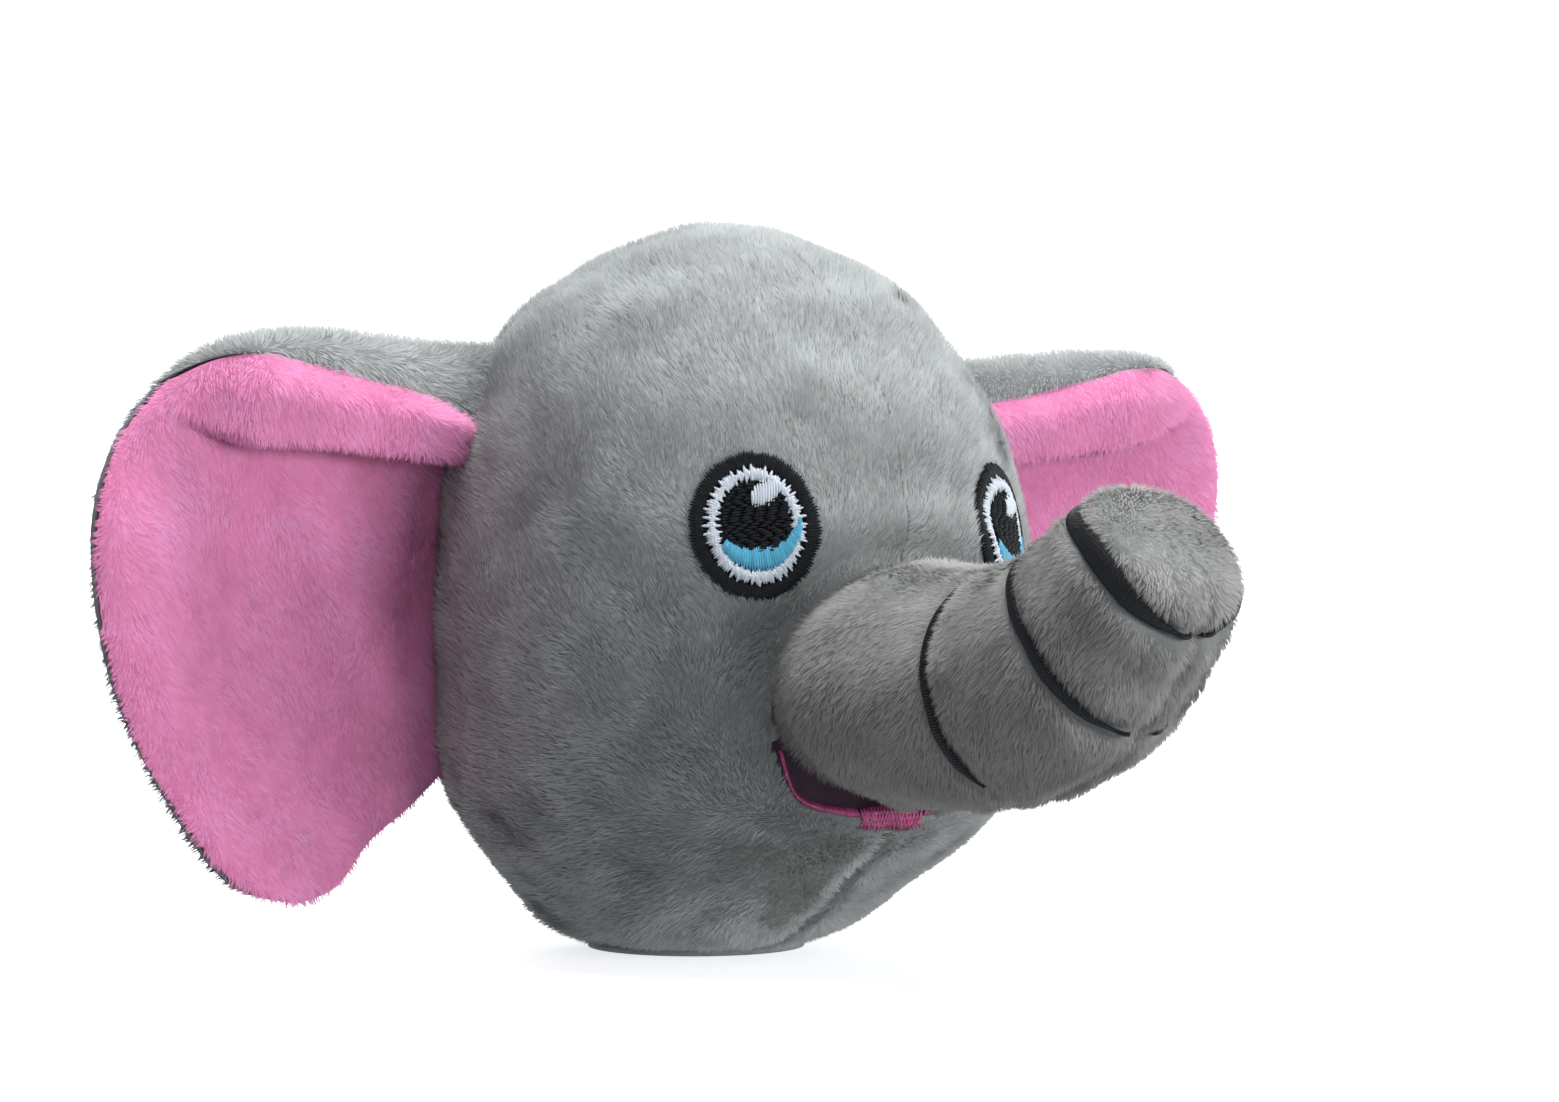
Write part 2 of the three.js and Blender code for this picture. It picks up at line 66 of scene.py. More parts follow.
TRUNK_LINE = [(34, 38.3), (48, 37.5), (60.5, 38), (73.5, 41.6), (83.5, 49), (91.6, 58)]
TRUNK_WIDTH = [(0, 19.8), (7, 19.3), (16, 17.6), (29, 15.6), (44.8, 13.8), (55.5, 12.2), (66, 12)]
TRUNK_HEIGHT = [(0, 16), (7, 16.2), (16, 15.8), (29, 15.2), (44.8, 14.3), (55.5, 12.6), (66, 12)]
TRUNK_END, TIP_LENGTH, TIP_BLUNT = 55.5, 9.6, 2.4
WRINKLES = [29, 44.8, 57.2]
WRINKLE_SWEEP = [0, 1.5, 3]
WRINKLE_SINK = [0.7, 0.9, 1.2]
TRUNK_JOINTS = [25.5, 39, 50.5]
PANEL_SPLITS = [0, 32, 45, TRUNK_END + TIP_LENGTH]
JOINT_REACH = 4.5  # half of the length that bends at each joint

EYE_ANGLE = math.radians(30)
EYE_HEIGHTS = {1: 58, -1: 57}
EYE_LEAN = math.radians(7.5)
EYE_WIDE, EYE_HIGH, EYE_RING = 8.5, 9.6, 2.2

EAR_SEAM_X, EAR_SEAM_Y = 38.5, 14
EAR_TURN = math.radians(10)
EAR_LOW, EAR_HIGH = 25.4, 82.5
EAR_LOBE = 36

MOUTH_HALF_WIDTH, MOUTH_CORNER, MOUTH_FLOOR, MOUTH_TOP = 17.5, 30.5, 20.6, 40
FRONT = -20  # the trunk and the mouth are in front of this

PILE_RISE = 0.9  # height of the pile over its backing cloth
CLOTH = 0.8  # thickness of the backing cloth


# ---- small maths ----
def smooth(x, low, high):
    t = np.clip((np.asarray(x, float) - low) / (high - low), 0, 1)
    return t * t * (3 - 2 * t)


def lerp(a, b, t):
    return a + (b - a) * t


def unit(v):
    return v / np.maximum(np.linalg.norm(v, axis=-1, keepdims=True), 1e-9)


def bump(x, width):
    return np.exp(-((x / width) ** 2))


def spline(points):
    """A smooth curve through the points, as a function of t from 0 to 1."""
    p = np.array(points, float)

    def at(t):
        x = np.clip(np.asarray(t, float), 0, 1) * (len(p) - 1)
        i = np.minimum(x.astype(int), len(p) - 2)
        w = (x - i)[..., None]
        a, b = p[np.maximum(i - 1, 0)], p[i]
        c, d = p[i + 1], p[np.minimum(i + 2, len(p) - 1)]
        m, n = (c - a) / 2, (d - b) / 2
        return (((2 * b - 2 * c + m + n) * w + 3 * c - 3 * b - 2 * m - n) * w + m) * w + b

    return at


def full_turn(count):
    return np.linspace(0, 2 * math.pi, count, endpoint=False)


WAVES = 7


def swell(points, wavelength, seed):
    """Smooth noise in space, mostly from -1 to 1."""
    r = np.random.default_rng(seed)
    waves = unit(r.normal(size=(WAVES, 3))) * (2 * math.pi / wavelength)
    waves *= r.uniform(0.6, 1.5, (WAVES, 1))
    return np.sin(points @ waves.T + r.uniform(0, 2 * math.pi, WAVES)).sum(-1) / (WAVES / 2)


def lumps(points, kinds):
    """Unevenness, from kinds of height, wavelength and seed."""
    return sum(height * swell(points, wavelength, seed) for height, wavelength, seed in kinds)


# ---- head surface ----
STEPS = np.linspace(0, 1, 2001)
PROFILE = spline(HEAD_PROFILE)(STEPS)
SLOPE = unit(np.gradient(PROFILE, axis=0))


def profile_at(height):
    return np.interp(height, PROFILE[:, 1], STEPS)


def head_radius(height):
    return np.interp(height, PROFILE[:, 1], PROFILE[:, 0])


def head_shift(height):
    low = np.maximum(0, 1 - height / BASE_REACH)
    return BASE_SHIFT * low**2 + CROWN_SHIFT * bump(height - CROWN_HEIGHT, 8)


def head_frame(angle, t):
    """Point on the bare head and the way out of it, by angle from straight ahead towards -X."""
    radius, height = np.interp(t, STEPS, PROFILE[:, 0]), np.interp(t, STEPS, PROFILE[:, 1])
    rise, run = np.interp(t, STEPS, SLOPE[:, 1]), np.interp(t, STEPS, SLOPE[:, 0])
    sin, cos = np.sin(angle), np.cos(angle)
    point = np.stack([-radius * sin, head_shift(height) - radius * cos, height + 0 * angle], -1)
    return point, np.stack([-rise * sin, -rise * cos, -run + 0 * angle], -1)


def seam(distance, depth, width=1.1):
    """Cloth dips into a seam and swells a little beside it."""
    return 0.35 * depth * bump(np.abs(distance) - 2.6 * width, 1.6 * width) - depth * bump(distance, width)


def beyond_head(points):
    """How far points are outside the bare head, measured level."""
    x, y, z = np.moveaxis(points, -1, 0)
    return np.hypot(x, y - head_shift(z)) - head_radius(z)


HEAD_LUMPS = [(0.55, 36, 11), (0.22, 15, 12)]
EAR_SEAM_DEPTH, REAR_SEAM_DEPTH, CHIN_SEAM_DEPTH = 0.8, 0.7, 0.6
CHIN_FADE, FACE_FADE = 4, 15
CREASE_DEPTH, CREASE_WIDTH = 1.3, 2.0
RIDGE_HEIGHT, RIDGE_AWAY, RIDGE_WIDTH = 0.9, 5.5, 3.2


def head_relief(point):
    """How far the stuffed cloth stands off the bare head."""
    x, y, z = np.moveaxis(point, -1, 0)
    radius = head_radius(z)
    angle = np.abs(np.arctan2(-x, head_shift(z) - y))
    chin = 1 - smooth(z, MOUTH_FLOOR - CHIN_FADE, MOUTH_FLOOR)
    relief = lumps(point, HEAD_LUMPS)
    relief = relief + seam(np.abs(angle - EAR_SEAM) * radius, EAR_SEAM_DEPTH)
    relief = relief + seam((math.pi - angle) * radius, REAR_SEAM_DEPTH)
    relief = relief + seam(angle * radius, CHIN_SEAM_DEPTH) * chin
    edge = trunk_clearance(point)
    crease = CREASE_DEPTH * bump(edge, CREASE_WIDTH)
    ridge = RIDGE_HEIGHT * bump(edge - RIDGE_AWAY, RIDGE_WIDTH)
    return relief - (crease - ridge) * smooth(-y, 0, FACE_FADE)


def on_head(angle, t, offset):
    point, out = head_frame(angle, t)
    return point + out * (head_relief(point) + offset)[..., None]


# ---- trunk surface ----
line = spline(TRUNK_LINE)(STEPS)
run = np.concatenate([[0], np.cumsum(np.linalg.norm(np.diff(line, axis=0), axis=1))])
TRUNK_LENGTH = run[-1]
heading = unit(np.gradient(line, axis=0))
WIDTHS, HEIGHTS = spline(TRUNK_WIDTH)(STEPS), spline(TRUNK_HEIGHT)(STEPS)


def trunk_frame(at):
    """Middle of the trunk at a length along it, the way ahead and the way up."""
    at = np.clip(at, 0, TRUNK_LENGTH)
    forward, up, ahead, rise = (np.interp(at, run, values) for values in (*line.T, *heading.T))
    zero = np.zeros_like(forward)
    ways = [(zero, -forward, up), (zero, -ahead, rise), (zero, rise, ahead)]
    return [np.stack(way, -1) for way in ways]


def trunk_half(at):
    return np.interp(at, WIDTHS[:, 0], WIDTHS[:, 1]), np.interp(at, HEIGHTS[:, 0], HEIGHTS[:, 1])


ROOT_LENGTH, ROOT_RADIUS = 20, 17


def trunk_clearance(point):
    """Rough distance in mm from a point to the side of the trunk's root, positive outside."""
    at = np.clip(-point[..., 1] - TRUNK_LINE[0][0], 0, ROOT_LENGTH)
    wide, high = trunk_half(at)
    centre = trunk_frame(at)[0]
    ratio = np.hypot(point[..., 0] / wide, (point[..., 2] - centre[..., 2]) / high)
    return (ratio - 1) * ROOT_RADIUS


TRUNK_LUMPS = [(0.35, 22, 21), (0.15, 9, 22)]
WRINKLE_WIDTH = 1.2
TRUNK_RADIUS = 13
TRUNK_SEAM_DEPTH, TRUNK_SEAM_WIDTH = 0.9, 1.0
ROOT_DIP, ROOT_DIP_WIDTH = 1.3, 2.2
ROOT_SWELL, ROOT_SWELL_AWAY, ROOT_SWELL_WIDTH = 0.5, 5, 3


def trunk_relief(at, angle, point):
    """How far the stuffed cloth stands off the bare trunk."""
    side = np.sin(angle) ** 2
    relief = lumps(point, TRUNK_LUMPS)
    for place, sweep, sink in zip(WRINKLES, WRINKLE_SWEEP, WRINKLE_SINK):
        relief = relief + seam(at - place - sweep * side, sink, WRINKLE_WIDTH)
    under = (math.pi - np.abs(angle)) * TRUNK_RADIUS
    relief = relief + seam(under, TRUNK_SEAM_DEPTH, TRUNK_SEAM_WIDTH)
    beyond = beyond_head(point)
    root = np.where(beyond > 0, beyond, beyond / 2)
    relief = relief - ROOT_DIP * bump(root, ROOT_DIP_WIDTH)
    return relief + ROOT_SWELL * bump(root - ROOT_SWELL_AWAY, ROOT_SWELL_WIDTH)


def on_trunk(at, angle, offset):
    """Point round the trunk, by angle from its top towards -X."""
    centre, ahead, up = trunk_frame(at)
    beyond = np.clip((at - TRUNK_END) / TIP_LENGTH, 0, 1)
    close = (1 - beyond**TIP_BLUNT) ** (1 / TIP_BLUNT)
    wide, high = trunk_half(at)
    sin, cos = np.sin(angle), np.cos(angle)
    across = np.array([-1.0, 0, 0])
    bare = centre + across * (wide * close * sin)[..., None] + up * (high * close * cos)[..., None]
    forward = beyond**4
    sideways = 15 * (1 - forward)
    out = unit(
        across * (sideways * sin / wide)[..., None]
        + up * (sideways * cos / high)[..., None]
        + ahead * forward[..., None]
    )
    offset = offset + trunk_relief(at, angle, bare) * (1 - beyond**6)
    return bare + out * offset[..., None]


# ---- ears ----
EAR_TUCK = 1.3  # how far an ear's inner edge is set into the head


def ear_inner(height):
    """How far along the ear, from its side seam, the head's surface is."""
    need = head_radius(height) - EAR_TUCK
    y0 = EAR_SEAM_Y - head_shift(height)
    half = EAR_SEAM_X * math.cos(EAR_TURN) - y0 * math.sin(EAR_TURN)
    rest = EAR_SEAM_X**2 + y0**2 - need**2
    return -half + np.sqrt(np.maximum(0, half * half - rest))


EAR_FAR = [(22.4, 8.8), (33.7, 12.3), (44, 24.8), (51.8, 39.5), (54.6, 56), (51.6, 67.5), (44.5, 75.8)]
EAR_UNDER = [(float(ear_inner(EAR_LOW)), EAR_LOW), (9.5, 16.5), (16.5, 10.4), (22.4, 8.8)]
EAR_OVER = [(float(ear_inner(EAR_HIGH)), EAR_HIGH), (7, 82.3), (24.5, 83.2), (37.6, 80.8), (44.5, 75.8)]
EAR_HEM = [(-1.5, 70.5), (14, 76.3), (30.6, 79.3), (38.4, 79.2), (44.5, 75.8)]
EAR_CREASE = [(-1.5, 68.3), (14, 69.3), (24, 69.8), (35, 70), (46, 72)]


def coons(bottom, top, left, right):
    """A patch between four curves, each a function of its own 0 to 1."""

    def at(u, v):
        sides = lerp(bottom(u), top(u), v[..., None]) + lerp(left(v), right(v), u[..., None])
        ends = [np.array([f(np.array(0.0)), f(np.array(1.0))]) for f in (bottom, top)]
        low = lerp(ends[0][0], ends[0][1], u[..., None])
        high = lerp(ends[1][0], ends[1][1], u[..., None])
        return sides - lerp(low, high, v[..., None])

    return at


def ear_seam_line(low, high):
    def at(v):
        height = lerp(low, high, np.asarray(v, float))
        return np.stack([ear_inner(height), height], -1)

    return at


LOBE_LIFT, LOBE_BACK = 0.45, 1.1
CORNER_LIFT, CORNER_SPREAD = 3.5, 6


def flop(s, height):
    """How the left ear lies another way: its outer top stands up and its lobe bends back."""
    lobe = np.maximum(0, EAR_LOBE - height) * smooth(s, 2, 24)
    bend = np.minimum(1, lobe / EAR_LOBE)
    corner = smooth(s, 16, 46) * smooth(height, 52, 76)
    lift = LOBE_LIFT * lobe * bend + CORNER_LIFT * corner
    return lift, CORNER_SPREAD * corner, LOBE_BACK * lobe * np.sqrt(bend)


def ear_place(side, s, height, forward):
    """A point of the ear's own plane: s outwards from the side seam, height up, forward off the plane."""
    if side < 0:
        lift, spread, back = flop(s, height)
        s, height, forward = s + spread, height + lift, forward - back
    cos, sin = math.cos(EAR_TURN), math.sin(EAR_TURN)
    return np.stack(
        [-side * (EAR_SEAM_X + s * cos - forward * sin), EAR_SEAM_Y - s * sin - forward * cos, height], -1
    )


DISH_DEPTH, RIPPLE_HEIGHT = 4.2, 2.0


def ear_dish(s, height):
    """The ear's hollow middle and the soft ripple that crosses it."""
    middle = np.exp(-(((s - 26) / 20) ** 2) - (((height - 42) / 22) ** 2))
    ripple = bump((s - 14) - 0.55 * (height - 44), 6) * smooth(height, 22, 40) * (1 - smooth(height, 58, 68))
    return smooth(s, 0, 12) * (RIPPLE_HEIGHT * ripple - DISH_DEPTH * middle)


ROLL_HEIGHT, ROLL_ROUND, ROLL_DROP = 5.4, 2.2, 2.6
CLOTHS_APART = 0.4  # half of the gap between an ear's two cloths at their sewn edge
EAR_LUMP = (0.5, 17, 31)


def ear_front(side):
    """Surface of an ear's front cloth, whose top rolls forward."""
    patch = coons(
        spline(EAR_UNDER), spline(EAR_HEM), ear_seam_line(EAR_LOW, EAR_HEM[0][1]), spline(EAR_FAR)
    )
    crease = spline(EAR_CREASE)(STEPS)

    def at(u, v):
        flat = patch(u, v)
        s, height = flat[..., 0], flat[..., 1]
        hem = patch(u, np.ones_like(v))[..., 1]
        low = np.interp(s, crease[:, 0], crease[:, 1])
        share = (height - low) / np.maximum(hem - low, 1)
        strength = 1 - smooth(s, 32, 46)
        roll = ROLL_HEIGHT + ROLL_ROUND * np.sin(math.pi * np.clip(share, 0, 1))
        roll = roll * smooth(share, -0.06, 0.14)
        drop = ROLL_DROP * bump(share - 0.13, 0.13)
        forward = ear_dish(s, height) + CLOTHS_APART + ear_puff(u, v, top_open=True)
        forward = forward + strength * roll + lumps(np.stack([s, height, 0 * s], -1), [EAR_LUMP])
        return ear_place(side, s, height - strength * drop, forward)

    return at


EAR_TALL, EAR_WIDE = 60, 48
PUFF_HEIGHT, PUFF_REACH = 1.1, 2.5


def ear_puff(u, v, top_open=False):
    """The two cloths part away from their sewn edge."""
    top = EAR_TALL if top_open else (1 - v) * EAR_TALL
    edge = np.minimum(np.minimum(v * EAR_TALL, (1 - u) * EAR_WIDE), top)
    return PUFF_HEIGHT * (1 - np.exp(-edge / PUFF_REACH))


TURN_AT = 0.8  # share of the rows that climb the back before the cloth turns over the top
TURN_RISE, TURN_REACH = 3.0, 3.9


def ear_back(side):
    """Surface of an ear's back cloth, which climbs the back and turns over the top."""
    patch = coons(
        spline(EAR_UNDER), spline(EAR_OVER), ear_seam_line(EAR_LOW, EAR_HIGH), spline(EAR_FAR)
    )
    hem = spline(EAR_HEM)(STEPS)

    def at(u, v):
        climb = np.clip(v / TURN_AT, 0, 1)
        flat = patch(u, climb)
        s, height = flat[..., 0], flat[..., 1]
        strength = 1 - smooth(s, 34, 46)
        rise = TURN_RISE * strength
        over = math.pi * np.clip((v - TURN_AT) / (1 - TURN_AT), 0, 1)
        drop = np.where(over < math.pi / 2, rise, height - np.interp(s, hem[:, 0], hem[:, 1]))
        climbing = height - rise * smooth(climb, 0.3, 1.0)
        z = np.where(v < TURN_AT, climbing, height - drop * (1 - np.sin(over)))
        base = ear_dish(s, height) - CLOTHS_APART - ear_puff(u, np.minimum(climb, 0.99))
        return ear_place(side, s, z, base + strength * TURN_REACH * (1 - np.cos(over)))

    return at


# ---- meshes ----
def place_object(name, data):
    obj = bpy.data.objects.new(name, data)
    bpy.context.scene.collection.objects.link(obj)
    return obj


def new_object(name, points, faces, uv=None):
    """A smooth mesh object from points in mm and arrays of face indices, one array per face size."""
    mesh = bpy.data.meshes.new(name)
    corners = np.concatenate([f.reshape(-1) for f in faces]).astype(np.int32)
    sizes = np.concatenate([np.full(len(f), f.shape[1], np.int32) for f in faces])
    mesh.vertices.add(len(points))
    mesh.vertices.foreach_set("co", (points * MM).astype(np.float32).ravel())
    mesh.loops.add(len(corners))
    mesh.loops.foreach_set("vertex_index", corners)
    mesh.polygons.add(len(sizes))
    starts = np.concatenate([[0], np.cumsum(sizes)[:-1]]).astype(np.int32)
    mesh.polygons.foreach_set("loop_start", starts)
    mesh.polygons.foreach_set("use_smooth", np.full(len(sizes), True))
    mesh.update(calc_edges=True)
    if uv is not None:
        layer = mesh.uv_layers.new(name=BAKE_MAP)
        layer.data.foreach_set("uv", uv[corners].astype(np.float32).ravel())
    return place_object(name, mesh)


def ring_cells(rings, sides):
    """Quads between rings of points, each ring closed on itself."""
    k, j = (a.ravel() for a in np.meshgrid(np.arange(rings - 1) * sides, np.arange(sides), indexing="ij"))
    after = (j + 1) % sides
    return np.stack([k + j, k + sides + j, k + sides + after, k + after], -1)


class Cloth:
    """A rectangular grid of points on a surface, with the way out of it at each and the cells kept."""

    def __init__(self, surface, across, along, keep=None, flip=False, wrap=False):
        u, v = np.meshgrid(across, along, indexing="ij")
        self.points = p = surface(u, v)
        du = np.roll(p, -1, 0) - np.roll(p, 1, 0) if wrap else np.gradient(p, axis=0)
        out = unit(np.cross(du, np.gradient(p, axis=1)))
        self.out = -out if flip else out
        self.flip = flip
        self.uv = np.stack([u, v], -1)
        n, m = p.shape[:2]
        i, j = np.meshgrid(np.arange(n if wrap else n - 1), np.arange(m - 1), indexing="ij")
        near, far = (i * m + j).ravel(), ((i + 1) % n * m + j).ravel()
        self.cells = np.stack([near, far, far + 1, near + 1], -1)
        if keep is not None:
            self.cells = self.cells[keep(p.reshape(-1, 3)[self.cells].mean(1))]

    def cell_areas(self):
        p = self.points.reshape(-1, 3)
        a, b, c, d = (p[self.cells[:, k]] for k in range(4))
        return np.linalg.norm(np.cross(c - a, d - b), axis=1) / 2

    def area(self):
        return float(self.cell_areas().sum())

    def sample(self, count, rng):
        """Evenly spread places on the cloth: points and outward directions."""
        total = np.cumsum(self.cell_areas())
        pick = (np.arange(count) + rng.random(count)) / count * total[-1]
        cell = np.minimum(np.searchsorted(total, pick), len(total) - 1)
        s, t = rng.random((count, 1)), rng.random((count, 1))
        corner = self.cells[cell]
        weights = [(1 - s) * (1 - t), s * (1 - t), s * t, (1 - s) * t]
        spots = [
            sum(x.reshape(-1, 3)[corner[:, k]] * weight for k, weight in enumerate(weights))
            for x in (self.points, self.out)
        ]
        return spots[0], unit(spots[1])

    def solid(self, name, thickness=CLOTH):
        """The cloth as a closed thin sheet."""
        outer = self.points.reshape(-1, 3)
        inner = (self.points - self.out * thickness).reshape(-1, 3)
        count = len(outer)
        cells = self.cells if not self.flip else self.cells[:, ::-1]
        edges = np.stack([cells, np.roll(cells, -1, 1)], -1).reshape(-1, 2)
        code = edges[:, 0].astype(np.int64) * count + edges[:, 1]
        back = edges[:, 1].astype(np.int64) * count + edges[:, 0]
        rim = edges[~np.isin(code, back)]
        walls = np.stack([rim[:, 1], rim[:, 0], rim[:, 0] + count, rim[:, 1] + count], -1)
        faces = np.concatenate([cells, cells[:, ::-1] + count, walls])
        used, faces = np.unique(faces, return_inverse=True)
        half = self.uv.reshape(-1, 2) * [1, 0.5]
        uv = np.concatenate([half, half + [0, 0.5]])
        return new_object(name, np.concatenate([outer, inner])[used], [faces.reshape(-1, 4)], uv[used])


FIBRES_PER_PIECE = 45000
FIBRE_LENGTH, FIBRE_WIDTH, FIBRE_ROOT = 1.45, 0.2, 0.15
FIBRE_LEAN, LEAST_LEAN, MOST_LEAN = 0.83, 0.15, 0.97  # sine of a fibre's angle off the cloth's normal
TUFT_SIZE, TUFT_PULL = 1.2, 0.45
TUFT_WILDNESS, FIBRE_WILDNESS = 0.22, 0.16


def fibre_ways(points, normals, flow, swirl, wildness, seed, rng):
    """Directions of fibres: along flow, turned by broad swirls and a little each of their own."""
    way = flow(points)
    way = unit(way - normals * (way * normals).sum(-1, keepdims=True))
    aside = np.cross(normals, way)
    turn = swirl * lumps(points, [(1.2, 19, seed + 1), (0.8, 7, seed + 2)])
    turn = (turn + wildness * rng.normal(size=len(points)))[:, None]
    way = way * np.cos(turn) + aside * np.sin(turn)
    tilt = FIBRE_LEAN + 0.1 * swell(points, 12, seed + 3) + 0.5 * wildness * rng.normal(size=len(points))
    tilt = np.clip(tilt, LEAST_LEAN, MOST_LEAN)[:, None]
    return unit(way * tilt + normals * np.sqrt(1 - tilt**2))


def nearest(seeds, points):
    """For each point, the number of the seed nearest to it."""
    tree = KDTree(len(seeds))
    for i, place in enumerate(seeds):
        tree.insert(place, i)
    tree.balance()
    return np.fromiter((tree.find(place)[1] for place in points), int, len(points))


def fibre_piece(name, points, shade, soft):
    """A mesh of closed fibres with three corners at the root and one at the tip, shaded along soft."""
    first = np.arange(len(points))[:, None] * 4
    faces = np.concatenate([first + f for f in ([0, 3, 1], [1, 3, 2], [2, 3, 0], [0, 1, 2])])
    u = np.stack([shade - 0.006, shade, shade + 0.006, shade], 1)
    v = np.tile([0.02, 0.02, 0.02, 0.98], len(points))
    obj = new_object(name, points.reshape(-1, 3), [faces], np.stack([u.reshape(-1), v], -1))
    obj.data.normals_split_custom_set_from_vertices(np.repeat(soft, 4, 0).astype(np.float32))
    obj.visible_shadow = False  # light passes between the fibres; the cloth under them casts the shadow
    return obj


def pile(name, cloth, flow, seed, density, trim=None, swirl=0.45):
    """Plush pile: fine closed fibres that lean along flow and gather in tufts, as a list of pieces."""
    rng = np.random.default_rng(seed)
    count = int(cloth.area() * density)
    root, out = cloth.sample(count, rng)
    share = np.ones(count)
    if trim is not None:
        share = trim(root)
        keep = share > rng.random(count) * 0.3 + 0.05
        root, out, share = root[keep], out[keep], share[keep]
        count = len(root)
    tufts = int(cloth.area() / TUFT_SIZE**2)
    seeds, seed_out = cloth.sample(tufts, rng)
    seed_way = fibre_ways(seeds, seed_out, flow, swirl, TUFT_WILDNESS, seed, rng)
    way = fibre_ways(root, out, flow, swirl, FIBRE_WILDNESS, seed, rng)
    near = nearest(seeds, root)
    long = (FIBRE_LENGTH * share * rng.uniform(0.75, 1.15, count))[:, None]
    gathered = seeds[near] + seed_way[near] * long * 1.05
    tip = lerp(root + way * long, gathered, TUFT_PULL * rng.uniform(0.3, 1.0, (count, 1)))
    way = unit(tip - root)
    side = unit(np.cross(way, out))
    over = np.cross(side, way)
    half = FIBRE_WIDTH * rng.uniform(0.4, 0.62, (count, 1))
    foot = root - out * FIBRE_ROOT
    points = np.stack([foot + half * side, foot - half * side, foot - 0.6 * half * over, tip], 1)
    # broad lumps: partly painted light and shade of brushed pile catching the light unevenly, partly random
    # tone; the tuft and fibre terms are random tone
    shade = 0.5 + lumps(root, [(0.2, 17, seed + 4), (0.12, 6, seed + 5)])
    shade = shade + 0.1 * rng.normal(size=tufts)[near] + 0.08 * rng.normal(size=count)
    shade = np.clip(shade, 0.02, 0.98)
    soft = unit(0.75 * out + 0.45 * over + 0.13 * rng.normal(size=(count, 3)))
    parts = math.ceil(count / FIBRES_PER_PIECE)
    names = [f"{name}_{k + 1}" for k in range(parts)] if parts > 1 else [name]
    groups = np.array_split(np.arange(count), parts)
    return [fibre_piece(title, points[g], shade[g], soft[g]) for title, g in zip(names, groups)]


# ---- materials ----
def linear(rgb):
    """sRGB 0-255 to linear."""
    c = np.array(rgb, float) / 255
    c = np.where(c <= 0.04045, c / 12.92, ((c + 0.055) / 1.055) ** 2.4)
    return (*c, 1.0)


def link(source, target):
    source.id_data.links.new(source, target)


def new_material(name, roughness, sheen=0.0, specular=0.3):
    """A material, its nodes and its shader."""
    mat = bpy.data.materials.new(name)
    mat.use_nodes = True
    shader = mat.node_tree.nodes["Principled BSDF"]
    shader.inputs["Roughness"].default_value = roughness
    shader.inputs["Specular IOR Level"].default_value = specular
    shader.inputs["Sheen Weight"].default_value = sheen
    shader.inputs["Sheen Roughness"].default_value = 0.5
    return mat, mat.node_tree.nodes, shader


def ramp(nodes, source, stops):
    """The colours of a ramp through the stops, read by the source."""
    node = nodes.new("ShaderNodeValToRGB")
    while len(node.color_ramp.elements) < len(stops):
        node.color_ramp.elements.new(0.5)
    for element, (place, colour) in zip(node.color_ramp.elements, stops):
        element.position = place
        element.color = colour
    link(source, node.inputs[0])
    return node.outputs[0]


def tones(colour, spread):
    """A colour in linear light between a darker and a paler one."""
    base = np.array(linear(colour))
    low, high = base * (1 - spread), np.minimum(base * (1 + spread), 1)
    low[3] = high[3] = 1
    return tuple(low), tuple(base), tuple(high)


def own_layout(nodes):
    """The two coordinates of a piece's own layout."""
    layout = nodes.new("ShaderNodeUVMap")
    layout.uv_map = BAKE_MAP
    split = nodes.new("ShaderNodeSeparateXYZ")
    link(layout.outputs["UV"], split.inputs[0])
    return split.outputs["X"], split.outputs["Y"]


def pattern(nodes, kind, scale):
    """A pattern node of the given kind and scale in the object's own space."""
    place = nodes.new("ShaderNodeTexCoord")
    node = nodes.new(kind)
    node.inputs["Scale"].default_value = scale
    link(place.outputs["Object"], node.inputs["Vector"])
    return node


def add_relief(nodes, shader, height, strength, depth):
    relief = nodes.new("ShaderNodeBump")
    relief.inputs["Strength"].default_value = strength
    relief.inputs["Distance"].default_value = depth
    link(height, relief.inputs["Height"])
    link(relief.outputs[0], shader.inputs["Normal"])


def pile_material(name, colour, root_shade=0.65, spread=0.25):
    """Fibre colour: darker at the root as painted shade between the fibres, paler at the tip, and each fibre
    a little different.
    """
    mat, nodes, shader = new_material(name, 0.85, 0.2, 0.12)
    across, along = own_layout(nodes)
    # painted shade: each fibre's colour darkens towards its root, in place of the shadow the fibres don't
    # cast
    root_shade_levels = [(0.0, root_shade), (0.5, 0.95), (1.0, 1.0)]
    height = ramp(nodes, along, [(place, (level, level, level, 1)) for place, level in root_shade_levels])
    low, base, high = tones(colour, spread)
    shade = ramp(nodes, across, [(0.0, low), (0.5, base), (1.0, high)])
    mix = nodes.new("ShaderNodeMix")
    mix.data_type = "RGBA"
    mix.blend_type = "MULTIPLY"
    mix.inputs["Factor"].default_value = 1.0
    link(shade, mix.inputs[6])
    link(height, mix.inputs[7])
    link(mix.outputs[2], shader.inputs["Base Color"])
    return mat


def cloth_material(name, colour, scale=900.0, depth=0.5, roughness=0.9, sheen=0.2, spread=0.25):
    """Knitted backing: fine loops in the bump, blotches in the colour."""
    mat, nodes, shader = new_material(name, roughness, sheen, 0.15)
    noise = pattern(nodes, "ShaderNodeTexNoise", scale / 4)
    noise.inputs["Detail"].default_value = 4
    low, _, high = tones(colour, spread)
    link(ramp(nodes, noise.outputs["Fac"], [(0.3, low), (0.7, high)]), shader.inputs["Base Color"])
    loops = pattern(nodes, "ShaderNodeTexVoronoi", scale)
    add_relief(nodes, shader, loops.outputs["Distance"], depth, 0.2 * MM)
    return mat


